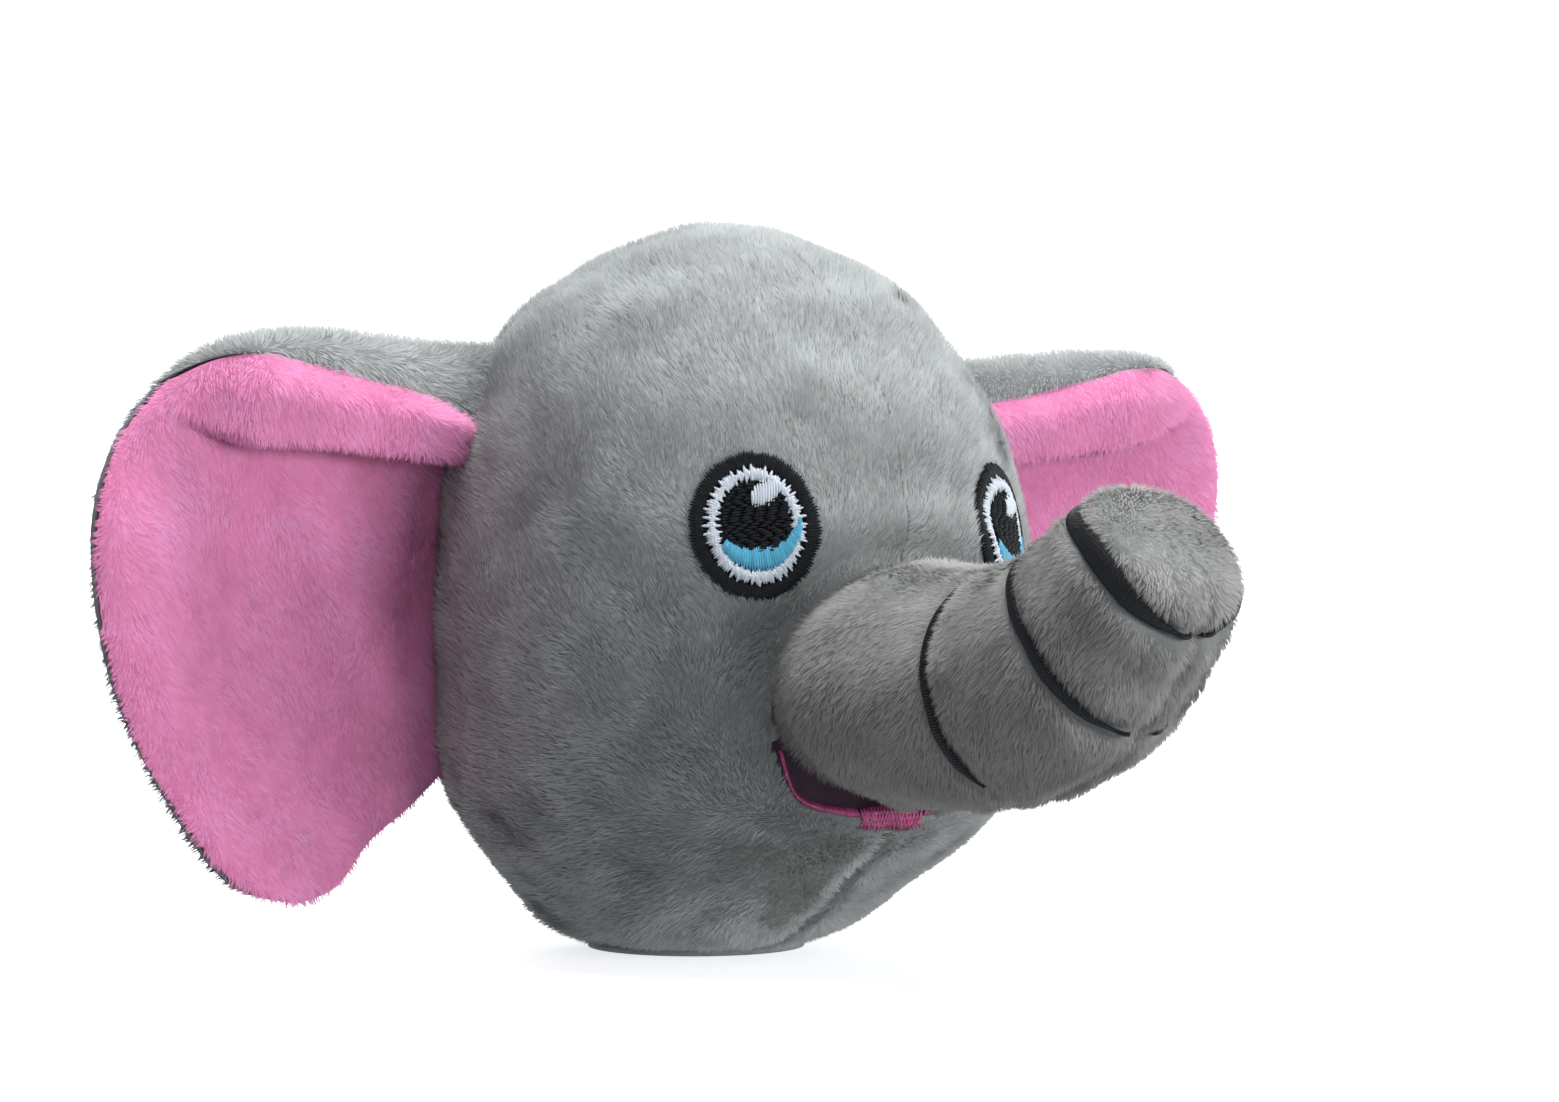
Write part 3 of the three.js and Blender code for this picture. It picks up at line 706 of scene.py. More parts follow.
def thread_material(name, colour, spread=0.3, roughness=0.42, specular=0.5):
    """Shiny embroidery thread: each stitch a little different, with a fine twist in the bump."""
    mat, nodes, shader = new_material(name, roughness, 0.0, specular)
    across, _ = own_layout(nodes)
    low, _, high = tones(colour, spread)
    link(ramp(nodes, across, [(0.0, low), (1.0, high)]), shader.inputs["Base Color"])
    twist = pattern(nodes, "ShaderNodeTexWave", 900)
    twist.inputs["Distortion"].default_value = 3
    add_relief(nodes, shader, twist.outputs["Fac"], 0.35, 0.1 * MM)
    return mat


GREY = (184, 188, 188)
# painted shade: the trunk's pile is a darker copy of the head's grey pile
SHADED_TRUNK_GREY = (168, 168, 165)
PINK = (255, 162, 212)
MATERIALS = {
    "grey_pile": pile_material("grey_pile", GREY),
    "shaded_trunk_pile": pile_material("shaded_trunk_pile", SHADED_TRUNK_GREY),
    "pink_pile": pile_material("pink_pile", PINK, root_shade=0.92, spread=0.2),
    # the backing cloths are darker than their pile: painted shade where they show between the fibres' roots
    "grey_cloth": cloth_material("grey_cloth", (140, 143, 143)),
    "pink_cloth": cloth_material("pink_cloth", (240, 140, 190), spread=0.12),
    "satin": cloth_material(
        "mouth_satin", (112, 90, 108), scale=2500, depth=0.15, roughness=0.5, sheen=0.1, spread=0.12,
    ),
    "black": thread_material("black_thread", (17, 19, 24), 0.5, 0.55, 0.15),
    "white": thread_material("white_thread", (222, 230, 240), 0.12),
    "blue": thread_material("blue_thread", (80, 176, 210), 0.25),
    "lip": thread_material("lip_thread", (176, 62, 122), 0.35),
    "grey": thread_material("grey_thread", (150, 152, 152), 0.2),
    "fill": cloth_material("stuffing_fill", (238, 236, 230), scale=700, depth=0.8, spread=0.08),
}


def finish_piece(obj, material, slot, body=None, bend=None, stands_for=()):
    if isinstance(obj, list):
        return [finish_piece(o, material, slot, body, bend, stands_for) for o in obj]
    obj.data.materials.append(MATERIALS[material])
    if bend is None:
        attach(obj, body)
    else:
        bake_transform(obj)
    if stands_for:
        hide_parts(*stands_for)
    return obj


# ---- stitches ----
STITCH_THICKNESS = [0.35, 0.85, 1, 1, 0.85, 0.35]
STITCH_SIDES = 6


def stitches(name, starts, ends, outs, width=0.42, height=0.34, seed=1, arch=0.25):
    """Closed satin stitches, each a flattened thread from start to end lying on its cloth."""
    rng = np.random.default_rng(seed)
    count, rings, sides = len(starts), len(STITCH_THICKNESS), STITCH_SIDES
    across = unit(np.cross(unit(ends - starts), outs))
    starts, ends, outs, across = (v[:, None, None] for v in (starts, ends, outs, across))
    share = np.linspace(0, 1, rings)[:, None, None]
    thick = np.array(STITCH_THICKNESS)[:, None, None]
    turn = full_turn(sides)[:, None]
    middle = lerp(starts, ends, share) + outs * (arch * np.sin(math.pi * share))
    round_it = across * (np.cos(turn) * width / 2) + outs * (np.sin(turn) * height / 2)
    points = (middle + round_it * thick).reshape(-1, 3)
    per = rings * sides
    first = np.arange(count)[:, None] * per
    walls = np.concatenate([first + quad for quad in ring_cells(rings, sides)])
    caps = np.concatenate([first + np.arange(sides), first + per - 1 - np.arange(sides)])
    shade = np.clip(0.5 + 0.22 * rng.normal(size=count), 0.03, 0.97)
    u = (shade[:, None] + np.tile(np.linspace(-0.01, 0.01, sides), rings)[None]).reshape(-1)
    v = np.tile(np.repeat(np.linspace(0.03, 0.97, rings), sides), count)
    return new_object(name, points, [walls, caps], np.stack([u, v], -1))


def outward(place, a, b, step=0.2):
    """Directions out of a surface place(a, b, offset)."""
    return unit(place(a, b, step) - place(a, b, 0))


# ---- eyes ----
def eye_place(side):
    """Point on the head by an eye: p towards +X and q up from the eye's middle."""

    def at(p, q, offset):
        lean = EYE_LEAN * side
        across = p * math.cos(lean) - q * math.sin(lean)
        height = EYE_HEIGHTS[side] + p * math.sin(lean) + q * math.cos(lean)
        t = profile_at(height)
        angle = side * EYE_ANGLE - across / head_radius(height)
        return on_head(angle, t, offset)

    return at


def eye_share(points):
    """For head points, how far out they are from the nearer eye, 1 at its outline."""
    x, y, z = np.moveaxis(points, -1, 0)
    angle = np.arctan2(-x, head_shift(z) - y)
    best = np.full(z.shape, 9.0)
    for side, _ in SIDES:
        lean = EYE_LEAN * side
        up = z - EYE_HEIGHTS[side]
        across = (side * EYE_ANGLE - angle) * head_radius(z)
        p = across * math.cos(lean) + up * math.sin(lean)
        q = up * math.cos(lean) - across * math.sin(lean)
        best = np.minimum(best, np.hypot(p / EYE_WIDE, q / EYE_HIGH))
    return best


STITCH_BED = -0.75  # embroidery lies pressed into the pile
PAD_SHARE, PAD_THICK = 0.95, 0.5
RING_INSIDE = np.array([EYE_WIDE - EYE_RING, EYE_HIGH - EYE_RING])
WHITE_INSIDE = RING_INSIDE * [0.76, 0.8]
PUPIL_MIDDLE, PUPIL_RADIUS = (0.4, 0.9), 4.7
PUPIL_ROW, PUPIL_STITCH, SHORTEST_STITCH = 0.36, 1.6, 0.35
IRIS_MIDDLE, IRIS_SIZE = (0.45, -0.2), (5.6, 5.8)
IRIS_TOP_MIDDLE, IRIS_TOP_SIZE = (0.5, 1.0), (4.35, 3.9)
IRIS_FROM, IRIS_TO = math.radians(206), math.radians(360)
GLINT_LOW, GLINT_HIGH, GLINT_TALL = -1.7, 1.9, 1.75


def sew_eye(side, word, part, colour, start, end, seed, lift, width=0.42):
    """Stitches of one part of an eye, whose starts and ends are measured from the eye's middle."""
    place = eye_place(side)
    a = place(start[:, 0], start[:, 1], STITCH_BED + lift)
    b = place(end[:, 0], end[:, 1], STITCH_BED + lift)
    middle = (start + end) / 2
    outs = outward(place, middle[:, 0], middle[:, 1])
    obj = stitches(f"eye_{part}_stitches_{word}", a, b, outs, width=width, seed=seed + side)
    finish_piece(obj, colour, f"{colour}_thread", "head", stands_for=[f"eye_{part}_{word}"])


def ring_points(angles, size, centre=(0, 0)):
    return np.stack([centre[0] + size[0] * np.cos(angles), centre[1] + size[1] * np.sin(angles)], -1)


def jitter(rng, count, size):
    """Random factors near 1, as a column."""
    return 1 + rng.uniform(-size, size, count)[:, None]


def make_eye_pad(side, word):
    """A solid pad of black thread under the eye's other stitches."""
    place = eye_place(side)
    wide, high = EYE_WIDE * PAD_SHARE, EYE_HIGH * PAD_SHARE
    pad = Cloth(
        lambda u, v: place(wide * v * np.cos(u), high * v * np.sin(u), STITCH_BED - 0.1),
        full_turn(48), np.linspace(0.02, 1, 10), flip=True, wrap=True,
    )
    finish_piece(pad.solid(f"eye_pad_{word}", PAD_THICK), "black", "black_thread", "head")


def pupil_stitches(rng):
    """Short stitches end to end in rows across the pupil."""
    start, end = [], []
    for q in np.arange(-PUPIL_RADIUS, PUPIL_RADIUS, PUPIL_ROW):
        half = PUPIL_RADIUS * math.sqrt(max(0, 1 - (q / PUPIL_RADIUS) ** 2))
        p = -half - rng.uniform(0, 1.4)
        while p < half:
            low, high = max(p, -half), min(p + PUPIL_STITCH, half)
            if high - low > SHORTEST_STITCH:
                start.append((low, q))
                end.append((high, q + rng.uniform(-0.1, 0.1)))
            p += PUPIL_STITCH
    return np.array(start) + PUPIL_MIDDLE, np.array(end) + PUPIL_MIDDLE


def make_eye(side, word):
    rng = np.random.default_rng(40 + side)
    make_eye_pad(side, word)

    n = 150
    a = full_turn(n)
    start = ring_points(a, RING_INSIDE) * jitter(rng, n, 0.02)
    end = ring_points(a + 0.02, (EYE_WIDE, EYE_HIGH)) * jitter(rng, n, 0.025)
    sew_eye(side, word, "outline", "black", start, end, 50, 0.12)

    n = 132
    a = full_turn(n)
    long_short = np.where(np.arange(n) % 3 == 1, 1.07, 0.98)[:, None] * jitter(rng, n, 0.055)
    start = ring_points(a, WHITE_INSIDE) * (2 - long_short)
    sew_eye(side, word, "white", "white", start, ring_points(a, RING_INSIDE) * long_short, 60, 0.22)

    sew_eye(side, word, "pupil", "black", *pupil_stitches(rng), 70, 0.2, width=0.4)

    n = 44
    a = np.linspace(IRIS_FROM, IRIS_TO, n)
    taper = np.sin(np.linspace(0.12, 1, n) ** 0.8 * math.pi * 0.93)[:, None] ** 0.5
    end = ring_points(a, IRIS_SIZE, IRIS_MIDDLE)
    start = ring_points(a, IRIS_TOP_SIZE, IRIS_TOP_MIDDLE)
    start = lerp(end, start, taper * jitter(rng, n, 0.06))
    sew_eye(side, word, "iris", "blue", start, end * jitter(rng, n, 0.01), 80, 0.34)

    n = 11
    p = np.linspace(GLINT_LOW, GLINT_HIGH, n)
    half = GLINT_TALL * np.sqrt(np.clip(1 - (p / 2.1) ** 2, 0.05, 1))[:, None] * jitter(rng, n, 0.12)
    middle = np.stack([1.9 + p, 4.0 + 0.25 * p], -1)
    up = half * [0.12, 1.0]
    sew_eye(side, word, "glint", "white", middle - up, middle + up, 90, 0.4)


# ---- mouth ----
def mouth_curve():
    def low(share):
        return lerp(MOUTH_CORNER, MOUTH_FLOOR, share)

    return spline([
        (-MOUTH_HALF_WIDTH, MOUTH_CORNER), (-0.84 * MOUTH_HALF_WIDTH, low(0.68)),
        (-0.45 * MOUTH_HALF_WIDTH, low(0.93)), (0, MOUTH_FLOOR),
    ])


MOUTH = mouth_curve()(STEPS)


def mouth_floor(x):
    return np.interp(-np.abs(x), MOUTH[:, 0], MOUTH[:, 1], left=99)


def below_lip(points):
    """Height of head points under the mouth's lower edge, negative inside the opening."""
    x, y, z = np.moveaxis(points, -1, 0)
    inside = (np.abs(x) < MOUTH_HALF_WIDTH) & (y < FRONT) & (z < MOUTH_TOP)
    return np.where(inside, mouth_floor(x) - z, 9.0)


def head_at(x, height, offset):
    """Point on the front of the head, by its place across and its height."""
    t = profile_at(height)
    angle = np.arcsin(np.clip(-x / head_radius(height), -1, 1))
    return on_head(angle, t, offset)


LINING_HALF_WIDTH, LINING_BELOW, LINING_ABOVE = 19.5, 2.5, 3
LIP_FROM, LIP_TO, LIP_SLANT = 0.09, 0.76, 0.35
TONGUE_HALF_WIDTH, TONGUE_LEAN = 4.6, 0.55


def make_mouth_lining():
    bottom, top = MOUTH_FLOOR - LINING_BELOW, MOUTH_CORNER + LINING_ABOVE
    lining = Cloth(
        lambda u, v: head_at(LINING_HALF_WIDTH * (2 * u - 1), lerp(bottom, top, v), -2.6 - 1.5 * v),
        np.linspace(0, 1, 50), np.linspace(0, 1, 20),
    )
    solid = lining.solid("mouth_lining_satin", 0.6)
    finish_piece(solid, "satin", "mouth_felt", "head", stands_for=["mouth_lining"])


def make_lower_lip(side, word):
    n = 46
    point = mouth_curve()(np.linspace(LIP_FROM, LIP_TO, n))
    x, z = point[:, 0] * side, point[:, 1]
    slant = LIP_SLANT * side
    low = head_at(x + slant, z - 0.75, -0.75)
    high = head_at(x - slant, z + 0.15, -0.95)
    outs = outward(head_at, x, z)
    obj = stitches(f"lower_lip_stitches_{word}", low, high, outs, width=0.5, seed=100 + side, arch=0.15)
    finish_piece(obj, "lip", "lip_thread", "head", stands_for=[f"lower_lip_{word}"])


def make_tongue():
    n = 34
    number = np.arange(n)
    x = lerp(-TONGUE_HALF_WIDTH, TONGUE_HALF_WIDTH, (number + 0.5) / n)
    bottom = MOUTH_FLOOR - 0.9 - 1.1 * np.sqrt(np.clip(1 - (x / 5.0) ** 2, 0, 1))
    lean = TONGUE_LEAN * np.where(number % 2, 1, -1)
    low = head_at(x - lean, bottom, -0.6)
    high = head_at(x + lean, MOUTH_FLOOR + 0.4 + 0 * x, -0.8)
    outs = outward(head_at, x, bottom)
    obj = stitches("tongue_stitches", low, high, outs, width=0.55, height=0.4, seed=110, arch=0.2)
    finish_piece(obj, "lip", "lip_thread", "head", stands_for=["tongue"])


# ---- head ----
def head_cloth(from_angle, to_angle, columns, keep=None):
    return Cloth(
        lambda u, v: on_head(lerp(from_angle, to_angle, u), v, -PILE_RISE),
        np.linspace(0.0, 0.998, columns), np.linspace(0, 1, 170), keep, flip=to_angle > from_angle,
    )


def face_kept(centre):
    """The cells of the face that aren't under the trunk or in the mouth's opening."""
    inside_trunk = (trunk_clearance(centre) < -3.0) & (centre[:, 1] < FRONT)
    return ~inside_trunk & (below_lip(centre) > 0)


def head_flow(points):
    """Pile strokes up the head and back over its crown."""
    return np.array([0, 0.7, 1.0]) + 0 * points


def head_trim(points):
    """Share of full pile length: short by the eyes, the mouth, the trunk and the resting patch."""
    eye = smooth(eye_share(points), 0.93, 1.08)
    lip = smooth(below_lip(points), 0.1, 2.2)
    foot = 0.45 + 0.55 * smooth(points[..., 2], 0.2, 4)
    trunk = np.where(points[..., 1] > FRONT, 1, smooth(trunk_clearance(points), -2.4, 0))
    return eye * lip * foot * trunk


BASE_RADIUS, BASE_TOP = 15.0, 0.9


def make_head():
    parts = [("face", 0.0, EAR_SEAM, 120, face_kept, 11), ("back", EAR_SEAM, math.pi, 80, None, 8)]
    for side, word in SIDES:
        for number, (part, low, high, columns, keep, density) in enumerate(parts):
            cloth = head_cloth(side * low, side * high, columns, keep)
            solid = cloth.solid(f"{part}_fabric_{word}")
            finish_piece(solid, "grey_cloth", "grey_plush", "head", stands_for=[f"{part}_panel_{word}"])
            seed = 200 + 10 * side + number
            hair = pile(f"{part}_pile_{word}", cloth, head_flow, seed, density, trim=head_trim)
            finish_piece(hair, "grey_pile", "grey_plush", "head")


def make_base():
    def disc(u, v):
        radius = BASE_RADIUS * v
        return np.stack([radius * np.cos(u), BASE_SHIFT + radius * np.sin(u), np.full(u.shape, BASE_TOP)], -1)

    around = full_turn(60)
    solid = Cloth(disc, around, np.linspace(0.02, 1, 14), wrap=True, flip=True).solid("base_fabric")
    finish_piece(solid, "grey_cloth", "grey_plush", "head", stands_for=["base_panel"])


FILL_INSET = -PILE_RISE - CLOTH - 0.6
FILL_JOINT_GAP = 3.2  # the lumps stay clear of each other as the trunk bends
TRUNK_FILL_START, FILL_TIP_GAP = 9.5, 1.2


FILL_LUMP = (-0.3, 8, 300)
MOUTH_DENT = 3.5


def fill_dent(point):
    """The filling is lumpy, and sinks behind the mouth."""
    x, y, z = np.moveaxis(point, -1, 0)
    mouth = bump(x, 22) * bump(z - MOUTH_FLOOR - 5, 11) * smooth(-y, 10, 25)
    return MOUTH_DENT * mouth + lumps(point, [FILL_LUMP])


def finish_fill(name, cloth, node, body):
    filling = capped(name, cloth)
    finish_piece(filling, "fill", "stuffing", body, stands_for=[node])


def make_fill():
    """Polyester filling: one lump in the head and one in each length of the trunk."""
    core = Cloth(
        lambda u, v: on_head(u, v, FILL_INSET - fill_dent(head_frame(u, v)[0])),
        -full_turn(90), np.linspace(0.03, 0.985, 60), wrap=True,
    )
    finish_fill("head_filling", core, "head_stuffing", "head")
    ends = [TRUNK_FILL_START, *TRUNK_JOINTS, TRUNK_END + TIP_LENGTH - FILL_TIP_GAP]
    lengths = [
        ("muzzle", "head"), ("trunk_lower", "trunk_lower"),
        ("trunk_upper", "trunk_upper"), ("trunk_tip", "trunk_tip"),
    ]
    for k, (name, body) in enumerate(lengths):
        low = ends[k] + (FILL_JOINT_GAP if k > 0 else 0)
        high = ends[k + 1] - (FILL_JOINT_GAP if k < 3 else 0)
        lump = Cloth(
            lambda u, v: on_trunk(v, u, FILL_INSET - fill_dent(trunk_frame(v)[0]) + 0 * u),
            full_turn(60), np.linspace(low, high, 16), wrap=True,
        )
        finish_fill(f"{name}_filling", lump, f"{name}_stuffing", body)


def capped(name, cloth):
    """A closed lump from a wrapped grid: its two open ends are filled with fans."""
    n, m = cloth.points.shape[:2]
    points = cloth.points.reshape(-1, 3)
    ends = [cloth.points[:, 0].mean(0), cloth.points[:, -1].mean(0)]
    points = np.concatenate([points, ends])
    i = np.arange(n)
    right = (i + 1) % n
    low = np.stack([i * m, np.full(n, n * m), right * m], -1)
    high = np.stack([right * m + m - 1, np.full(n, n * m + 1), i * m + m - 1], -1)
    uv = np.concatenate([cloth.uv.reshape(-1, 2) * [-0.159, 1], [[0.5, 0], [0.5, 1]]])
    return new_object(name, points, [cloth.cells, np.concatenate([low, high])], uv)


# ---- trunk ----
def joint_bend(number):
    """Blend settings for cloth that crosses one trunk joint."""
    middle = TRUNK_JOINTS[number]
    start = trunk_frame(np.array(middle - JOINT_REACH))[0] * MM
    end = trunk_frame(np.array(middle + JOINT_REACH))[0] * MM
    return (*BENDS[number], tuple(start), tuple(end))


BENDS = [("head", "trunk_lower"), ("trunk_lower", "trunk_upper"), ("trunk_upper", "trunk_tip")]
TRUNK_NAMES = ["muzzle", "trunk_middle", "trunk_tip"]
LAYOUT_PER_TURN, LAYOUT_PER_MM = 0.159, 0.015
TRUNK_STANDS_FOR = [["muzzle_panel", "trunk_lower_panel"], ["trunk_upper_panel"], ["trunk_tip_panel"]]


def trunk_rows(low, high, count):
    """Rows along the trunk, close together where the tip rounds over."""
    if high <= TRUNK_END:
        return np.linspace(low, high, count)
    straight = np.linspace(low, TRUNK_END, count // 2, endpoint=False)
    turn = np.linspace(0, math.pi / 2 * 0.995, count)
    return np.concatenate([straight, TRUNK_END + TIP_LENGTH * np.sin(turn) ** (2 / TIP_BLUNT)])


def muzzle_kept(centre):
    return beyond_head(centre) > -3.5


def trunk_flow(points):
    """Pile strokes down the trunk's sides and a little back towards the head."""
    at = np.clip(-points[..., 1] - TRUNK_LINE[0][0], 0, TRUNK_LENGTH)
    ahead = trunk_frame(at)[1]
    return np.array([0, 0, -1.0]) - 0.25 * ahead


def make_trunk():
    columns = np.linspace(-math.pi, math.pi, 130, endpoint=False)
    for k, name in enumerate(TRUNK_NAMES):
        rows = trunk_rows(PANEL_SPLITS[k], PANEL_SPLITS[k + 1], 48)
        cloth = Cloth(
            lambda u, v: on_trunk(v, u, -PILE_RISE), columns, rows,
            muzzle_kept if k == 0 else None, wrap=True,
        )
        cloth.uv = cloth.uv * [LAYOUT_PER_TURN, LAYOUT_PER_MM] + [0.5, 0]
        bend = joint_bend(k)
        solid = cloth.solid(f"{name}_fabric")
        finish_piece(solid, "grey_cloth", "trunk_plush", bend=bend, stands_for=TRUNK_STANDS_FOR[k])
        hair = pile(f"{name}_pile", cloth, trunk_flow, 240 + 10 * k, 12, trim=wrinkle_trim, swirl=0.32)
        # the trunk's pile material carries painted shade: a darker copy of the head's grey
        finish_piece(hair, "shaded_trunk_pile", "trunk_plush", bend=bend)


TRUNK_PLACES = np.linspace(0, TRUNK_LENGTH, 400)
NEAR_TRUNK = 22


def trunk_coordinates(points):
    """Length along the trunk and angle from its top, for points near its surface."""
    centres, aheads, ups = trunk_frame(TRUNK_PLACES)
    off = points[:, 1:2] * aheads[:, 1] + points[:, 2:3] * aheads[:, 2]
    off = np.abs(off - (centres * aheads).sum(-1))
    away = np.abs(points[:, 1:2] - centres[:, 1]) + np.abs(points[:, 2:3] - centres[:, 2])
    near = np.argmin(np.where(away > NEAR_TRUNK, 99, off), 1)
    offset = points - centres[near]
    beyond = np.maximum((offset * aheads[near]).sum(-1), 0)
    angle = np.arctan2(-offset[:, 0], (offset * ups[near]).sum(-1))
    return TRUNK_PLACES[near] + np.where(near == len(TRUNK_PLACES) - 1, beyond, 0), angle


WRINKLE_SPANS = np.radians([(34, 150), (-172, 172), (-176, 176)])
WRINKLE_HALF = [0.6, 0.7, 1.0]


WRINKLE_STITCHES = [
    (0, 1, "trunk_wrinkle_1_right"), (0, -1, "trunk_wrinkle_1_left"),
    (1, 1, "trunk_wrinkle_2"), (2, 1, "trunk_wrinkle_3"),
]


def wrinkle_trim(points):
    """Share of full pile length: none under the wrinkles' stitches."""
    at, angle = trunk_coordinates(points)
    share = np.ones(len(points))
    for k, (low, high) in enumerate(WRINKLE_SPANS):
        turn = np.abs(angle) if k == 0 else angle
        inside = (turn > low) & (turn < high)
        off = np.abs(at - WRINKLES[k] - WRINKLE_SWEEP[k] * np.sin(angle) ** 2)
        bare = WRINKLE_HALF[k] * 1.1
        share = np.where(inside, share * smooth(off, bare, bare + 0.7), share)
    return share


THREAD_LEVEL = -0.3


def make_wrinkles():
    for k, side, node in WRINKLE_STITCHES:
        low, high = WRINKLE_SPANS[k]
        n = int((high - low) * 14 / 0.36)
        share = (np.arange(n) + 0.5) / n
        angle = side * lerp(low, high, share)
        half = WRINKLE_HALF[k] * 1.15 * np.clip(7 * np.minimum(share, 1 - share), 0.25, 1)
        at = WRINKLES[k] + WRINKLE_SWEEP[k] * np.sin(angle) ** 2
        a = on_trunk(at - half, angle - 0.012, THREAD_LEVEL)
        b = on_trunk(at + half, angle + 0.012, THREAD_LEVEL)
        outs = outward(on_trunk, at, angle)
        obj = stitches(f"{node}_stitches", a, b, outs, width=0.5, height=0.4, seed=120 + k, arch=0.2)
        finish_piece(obj, "black", "black_thread", bend=joint_bend(k), stands_for=[node])


# ---- ears ----
def front_rows():
    """Rows up the ear's front, close together where the roll overhangs."""
    flat = np.linspace(0, 0.76, 70, endpoint=False)
    roll = np.linspace(0.76, 0.94, 60, endpoint=False)
    rows = np.concatenate([flat, roll, np.linspace(0.94, 1, 14)])
    return np.clip(rows, EAR_FIRST_ROW, 1)


EAR_EDGE = spline(EAR_FAR)(STEPS)
EAR_FIRST_ROW = 0.012
EAR_WAYS = {"front": np.array([0, 0.35, -1.0]), "back": np.array([0, 1.0, -0.6])}


def ear_flow(side, face):
    """Pile strokes down the front of the ear, over its top and down the back, and out at its edge."""

    def at(points):
        s = (-side * points[..., 0] - EAR_SEAM_X) / math.cos(EAR_TURN)
        rim = np.interp(points[..., 2], EAR_EDGE[:, 1], EAR_EDGE[:, 0])
        near = 1 - smooth(rim - s, 0.5, 4)
        return EAR_WAYS[face] + 1.3 * near[..., None] * [-side, 0, 0]

    return at


EAR_MIDDLE = 54.0
EAR_BEND_FROM, EAR_BEND_TO = 0.5, 13


def make_ear(side, word):
    seam_at = np.array([-side * EAR_SEAM_X, EAR_SEAM_Y, EAR_MIDDLE])
    out_way = np.array([-side * math.cos(EAR_TURN), -math.sin(EAR_TURN), 0])
    start, end = (seam_at + out_way * EAR_BEND_FROM) * MM, (seam_at + out_way * EAR_BEND_TO) * MM
    bend = ("head", f"ear_{word}", tuple(start), tuple(end))
    columns = np.concatenate([np.linspace(0, 0.02, 3, endpoint=False), np.linspace(0.02, 0.985, 90)])
    front = Cloth(ear_front(side), columns, front_rows(), flip=side > 0)
    back = Cloth(ear_back(side), columns, np.linspace(EAR_FIRST_ROW, 1, 110), flip=side < 0)
    faces = [(front, "front", "pink", 260, 11), (back, "back", "grey", 280, 8)]
    for cloth, face, tone, seed, density in faces:
        fabric = cloth.solid(f"ear_{face}_fabric_{word}", 0.6)
        finish_piece(fabric, f"{tone}_cloth", f"{tone}_plush", bend=bend, stands_for=[f"ear_{face}_{word}"])
        hair = pile(f"ear_{face}_pile_{word}", cloth, ear_flow(side, face), seed + side, density)
        finish_piece(hair, f"{tone}_pile", f"{tone}_plush", bend=bend)


# ---- closing stitches ----
LADDER_LEVEL = -0.5


def make_rear_stitches():
    """Ladder stitches that close the rear seam."""
    crossings = 9
    height = np.linspace(20, 44, crossings)
    t = profile_at(height)
    turn = 1.5 / head_radius(height)
    a = on_head(math.pi - turn, t, LADDER_LEVEL)
    b = on_head(math.pi + turn, profile_at(height + 1.2), LADDER_LEVEL)
    outs = outward(on_head, np.full(crossings, math.pi), t)
    obj = stitches("rear_ladder_stitches", a, b, outs, width=0.6, height=0.5, seed=130, arch=0.3)
    finish_piece(obj, "grey", "grey_thread", "head", stands_for=["rear_seam_thread"])


# ---- stage ----
CAMERA_TURN = math.radians(-35.5)
CAMERA_FAR, CAMERA_ASIDE, CAMERA_HIGH = 500, 6.92, 54.7
SENSOR, LENS = 36, 84.285


def look_along(obj, way):
    obj.rotation_mode = "QUATERNION"
    obj.rotation_quaternion = way.to_track_quat("-Z", "Y")


def make_camera():
    data = bpy.data.cameras.new("photo_camera")
    data.sensor_width = SENSOR
    data.lens = LENS
    data.clip_start, data.clip_end = 0.01, 20
    cam = place_object("photo_camera", data)
    toward = Vector((math.sin(CAMERA_TURN), -math.cos(CAMERA_TURN), 0))
    right = Vector((math.cos(CAMERA_TURN), math.sin(CAMERA_TURN), 0))
    cam.location = (toward * CAMERA_FAR + right * CAMERA_ASIDE + Vector((0, 0, CAMERA_HIGH))) * MM
    look_along(cam, -toward)
    bpy.context.scene.camera = cam


LIGHTS_AIM = Vector((0, -0.02, 0.05))


def area_light(name, place, size, power):
    data = bpy.data.lights.new(name, "AREA")
    data.shape = "DISK"
    data.size = size
    data.energy = power
    data.cycles.use_multiple_importance_sampling = False  # it would lose light on the fibres' undersides
    lamp = place_object(name, data)
    lamp.visible_camera = False
    lamp.location = place
    look_along(lamp, LIGHTS_AIM - lamp.location)


FLOOR_REACH, SWEEP_REACH, SWEEP_HEIGHT = 0.9, 1.2, 1.2


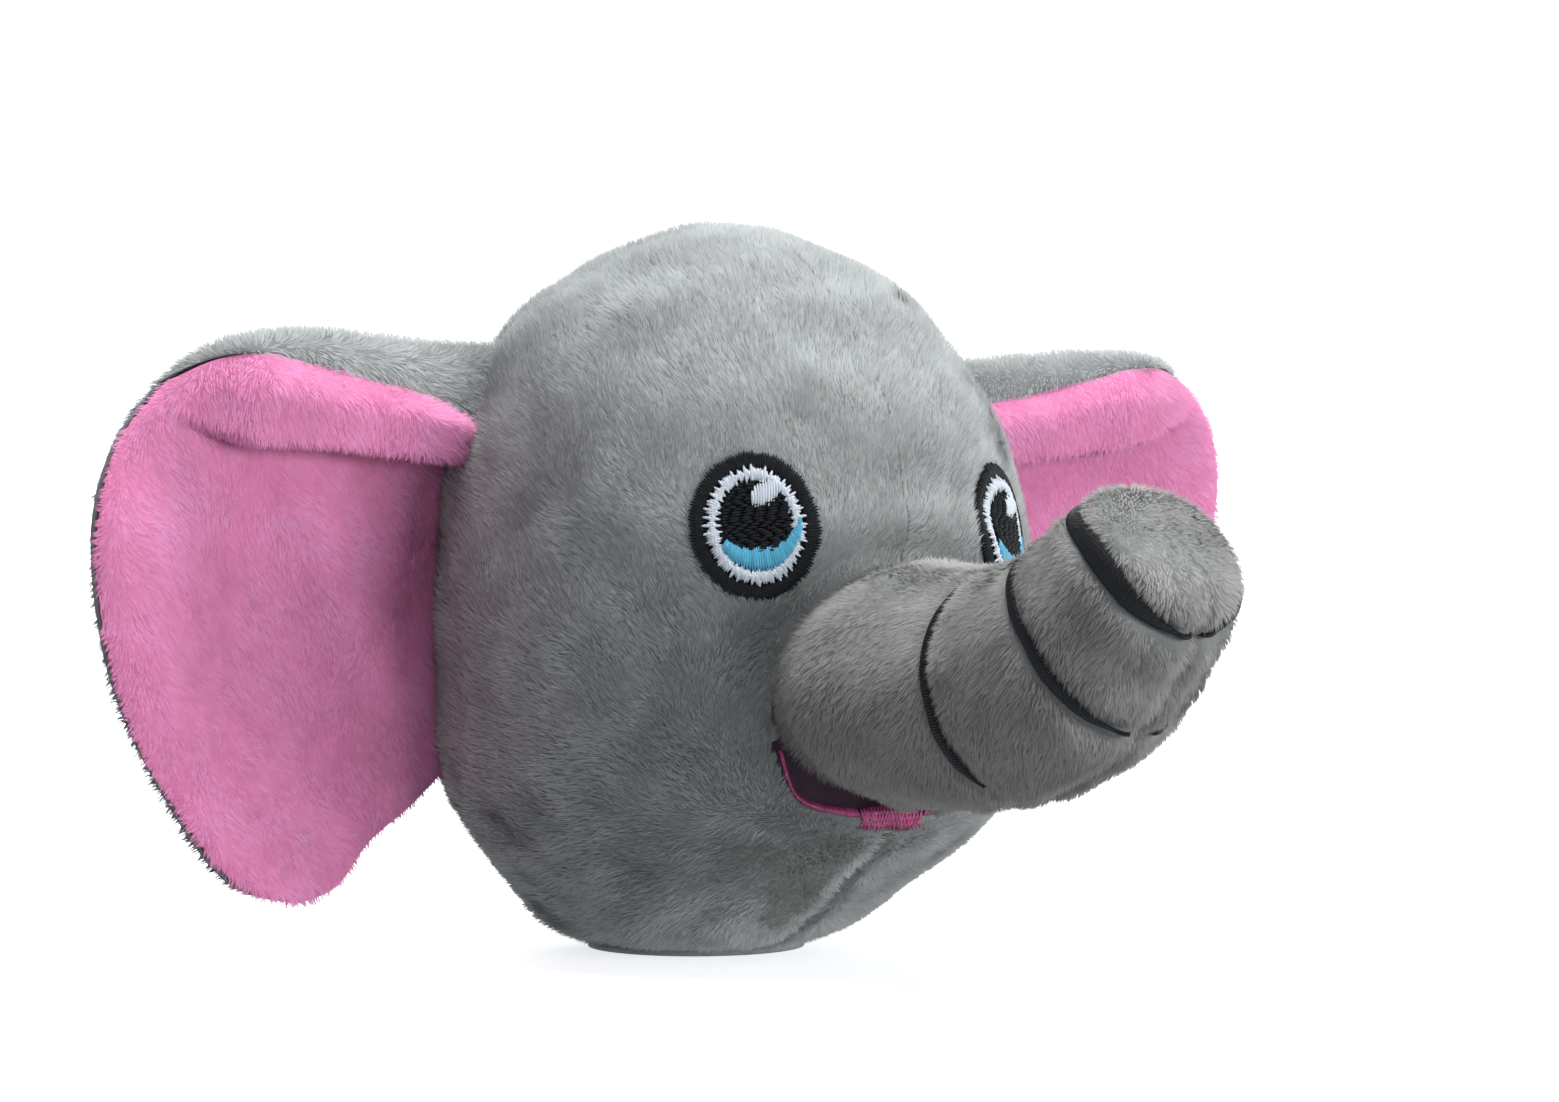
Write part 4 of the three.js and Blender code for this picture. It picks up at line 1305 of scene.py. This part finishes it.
def make_stage():
    """A pale sweep: a flat floor that turns up into a backdrop on every side."""
    n = 72
    turn = np.linspace(0, math.pi / 2, 14)
    reach = np.concatenate([[0, 0.3, 0.6], FLOOR_REACH + SWEEP_REACH * np.sin(turn)])
    rise = np.concatenate([[0, 0, 0], SWEEP_HEIGHT * (1 - np.cos(turn))])
    a = full_turn(n)
    rings = np.stack([np.outer(reach, np.cos(a)), np.outer(reach, np.sin(a)), np.outer(rise, np.ones(n))], -1)
    floor = new_object("floor", rings.reshape(-1, 3) / MM, [ring_cells(len(reach), n)])
    mat, _, shader = new_material("floor_white", 0.9, 0, 0.1)
    shader.inputs["Base Color"].default_value = (0.86, 0.87, 0.88, 1)
    shader.inputs["Emission Color"].default_value = (0.97, 0.985, 1.0, 1)
    shader.inputs["Emission Strength"].default_value = 0.7
    floor.data.materials.append(mat)
    floor.visible_diffuse = False


def make_light():
    """A soft window in front, a lamp overhead, a weaker one behind, and dim light all round."""
    area_light("window_light", (0.55, -1.15, 0.1), 0.75, 15)
    area_light("top_light", (0.1, 0.0, 1.3), 1.0, 17)
    area_light("back_light", (0.75, 1.1, 0.35), 1.0, 11)
    world = bpy.data.worlds.new("studio")
    bpy.context.scene.world = world
    world.use_nodes = True
    nodes = world.node_tree.nodes
    place = nodes.new("ShaderNodeTexCoord")
    split = nodes.new("ShaderNodeSeparateXYZ")
    link(place.outputs["Generated"], split.inputs[0])
    height = nodes.new("ShaderNodeMapRange")
    height.inputs["From Min"].default_value = -0.6
    height.inputs["From Max"].default_value = 0.9
    link(split.outputs["Z"], height.inputs["Value"])
    sky = ramp(nodes, height.outputs[0], [(0.0, (0.8, 0.81, 0.84, 1)), (1.0, (0.92, 0.96, 1.0, 1))])
    link(sky, nodes["Background"].inputs["Color"])
    nodes["Background"].inputs["Strength"].default_value = 0.42
    bpy.context.scene.view_settings.view_transform = "Standard"


make_head()
make_base()
make_fill()
make_trunk()
make_wrinkles()
for side, word in SIDES:
    make_eye(side, word)
    make_ear(side, word)
make_mouth_lining()
for side, word in SIDES:
    make_lower_lip(side, word)
make_tongue()
make_rear_stitches()
make_camera()
make_stage()
make_light()
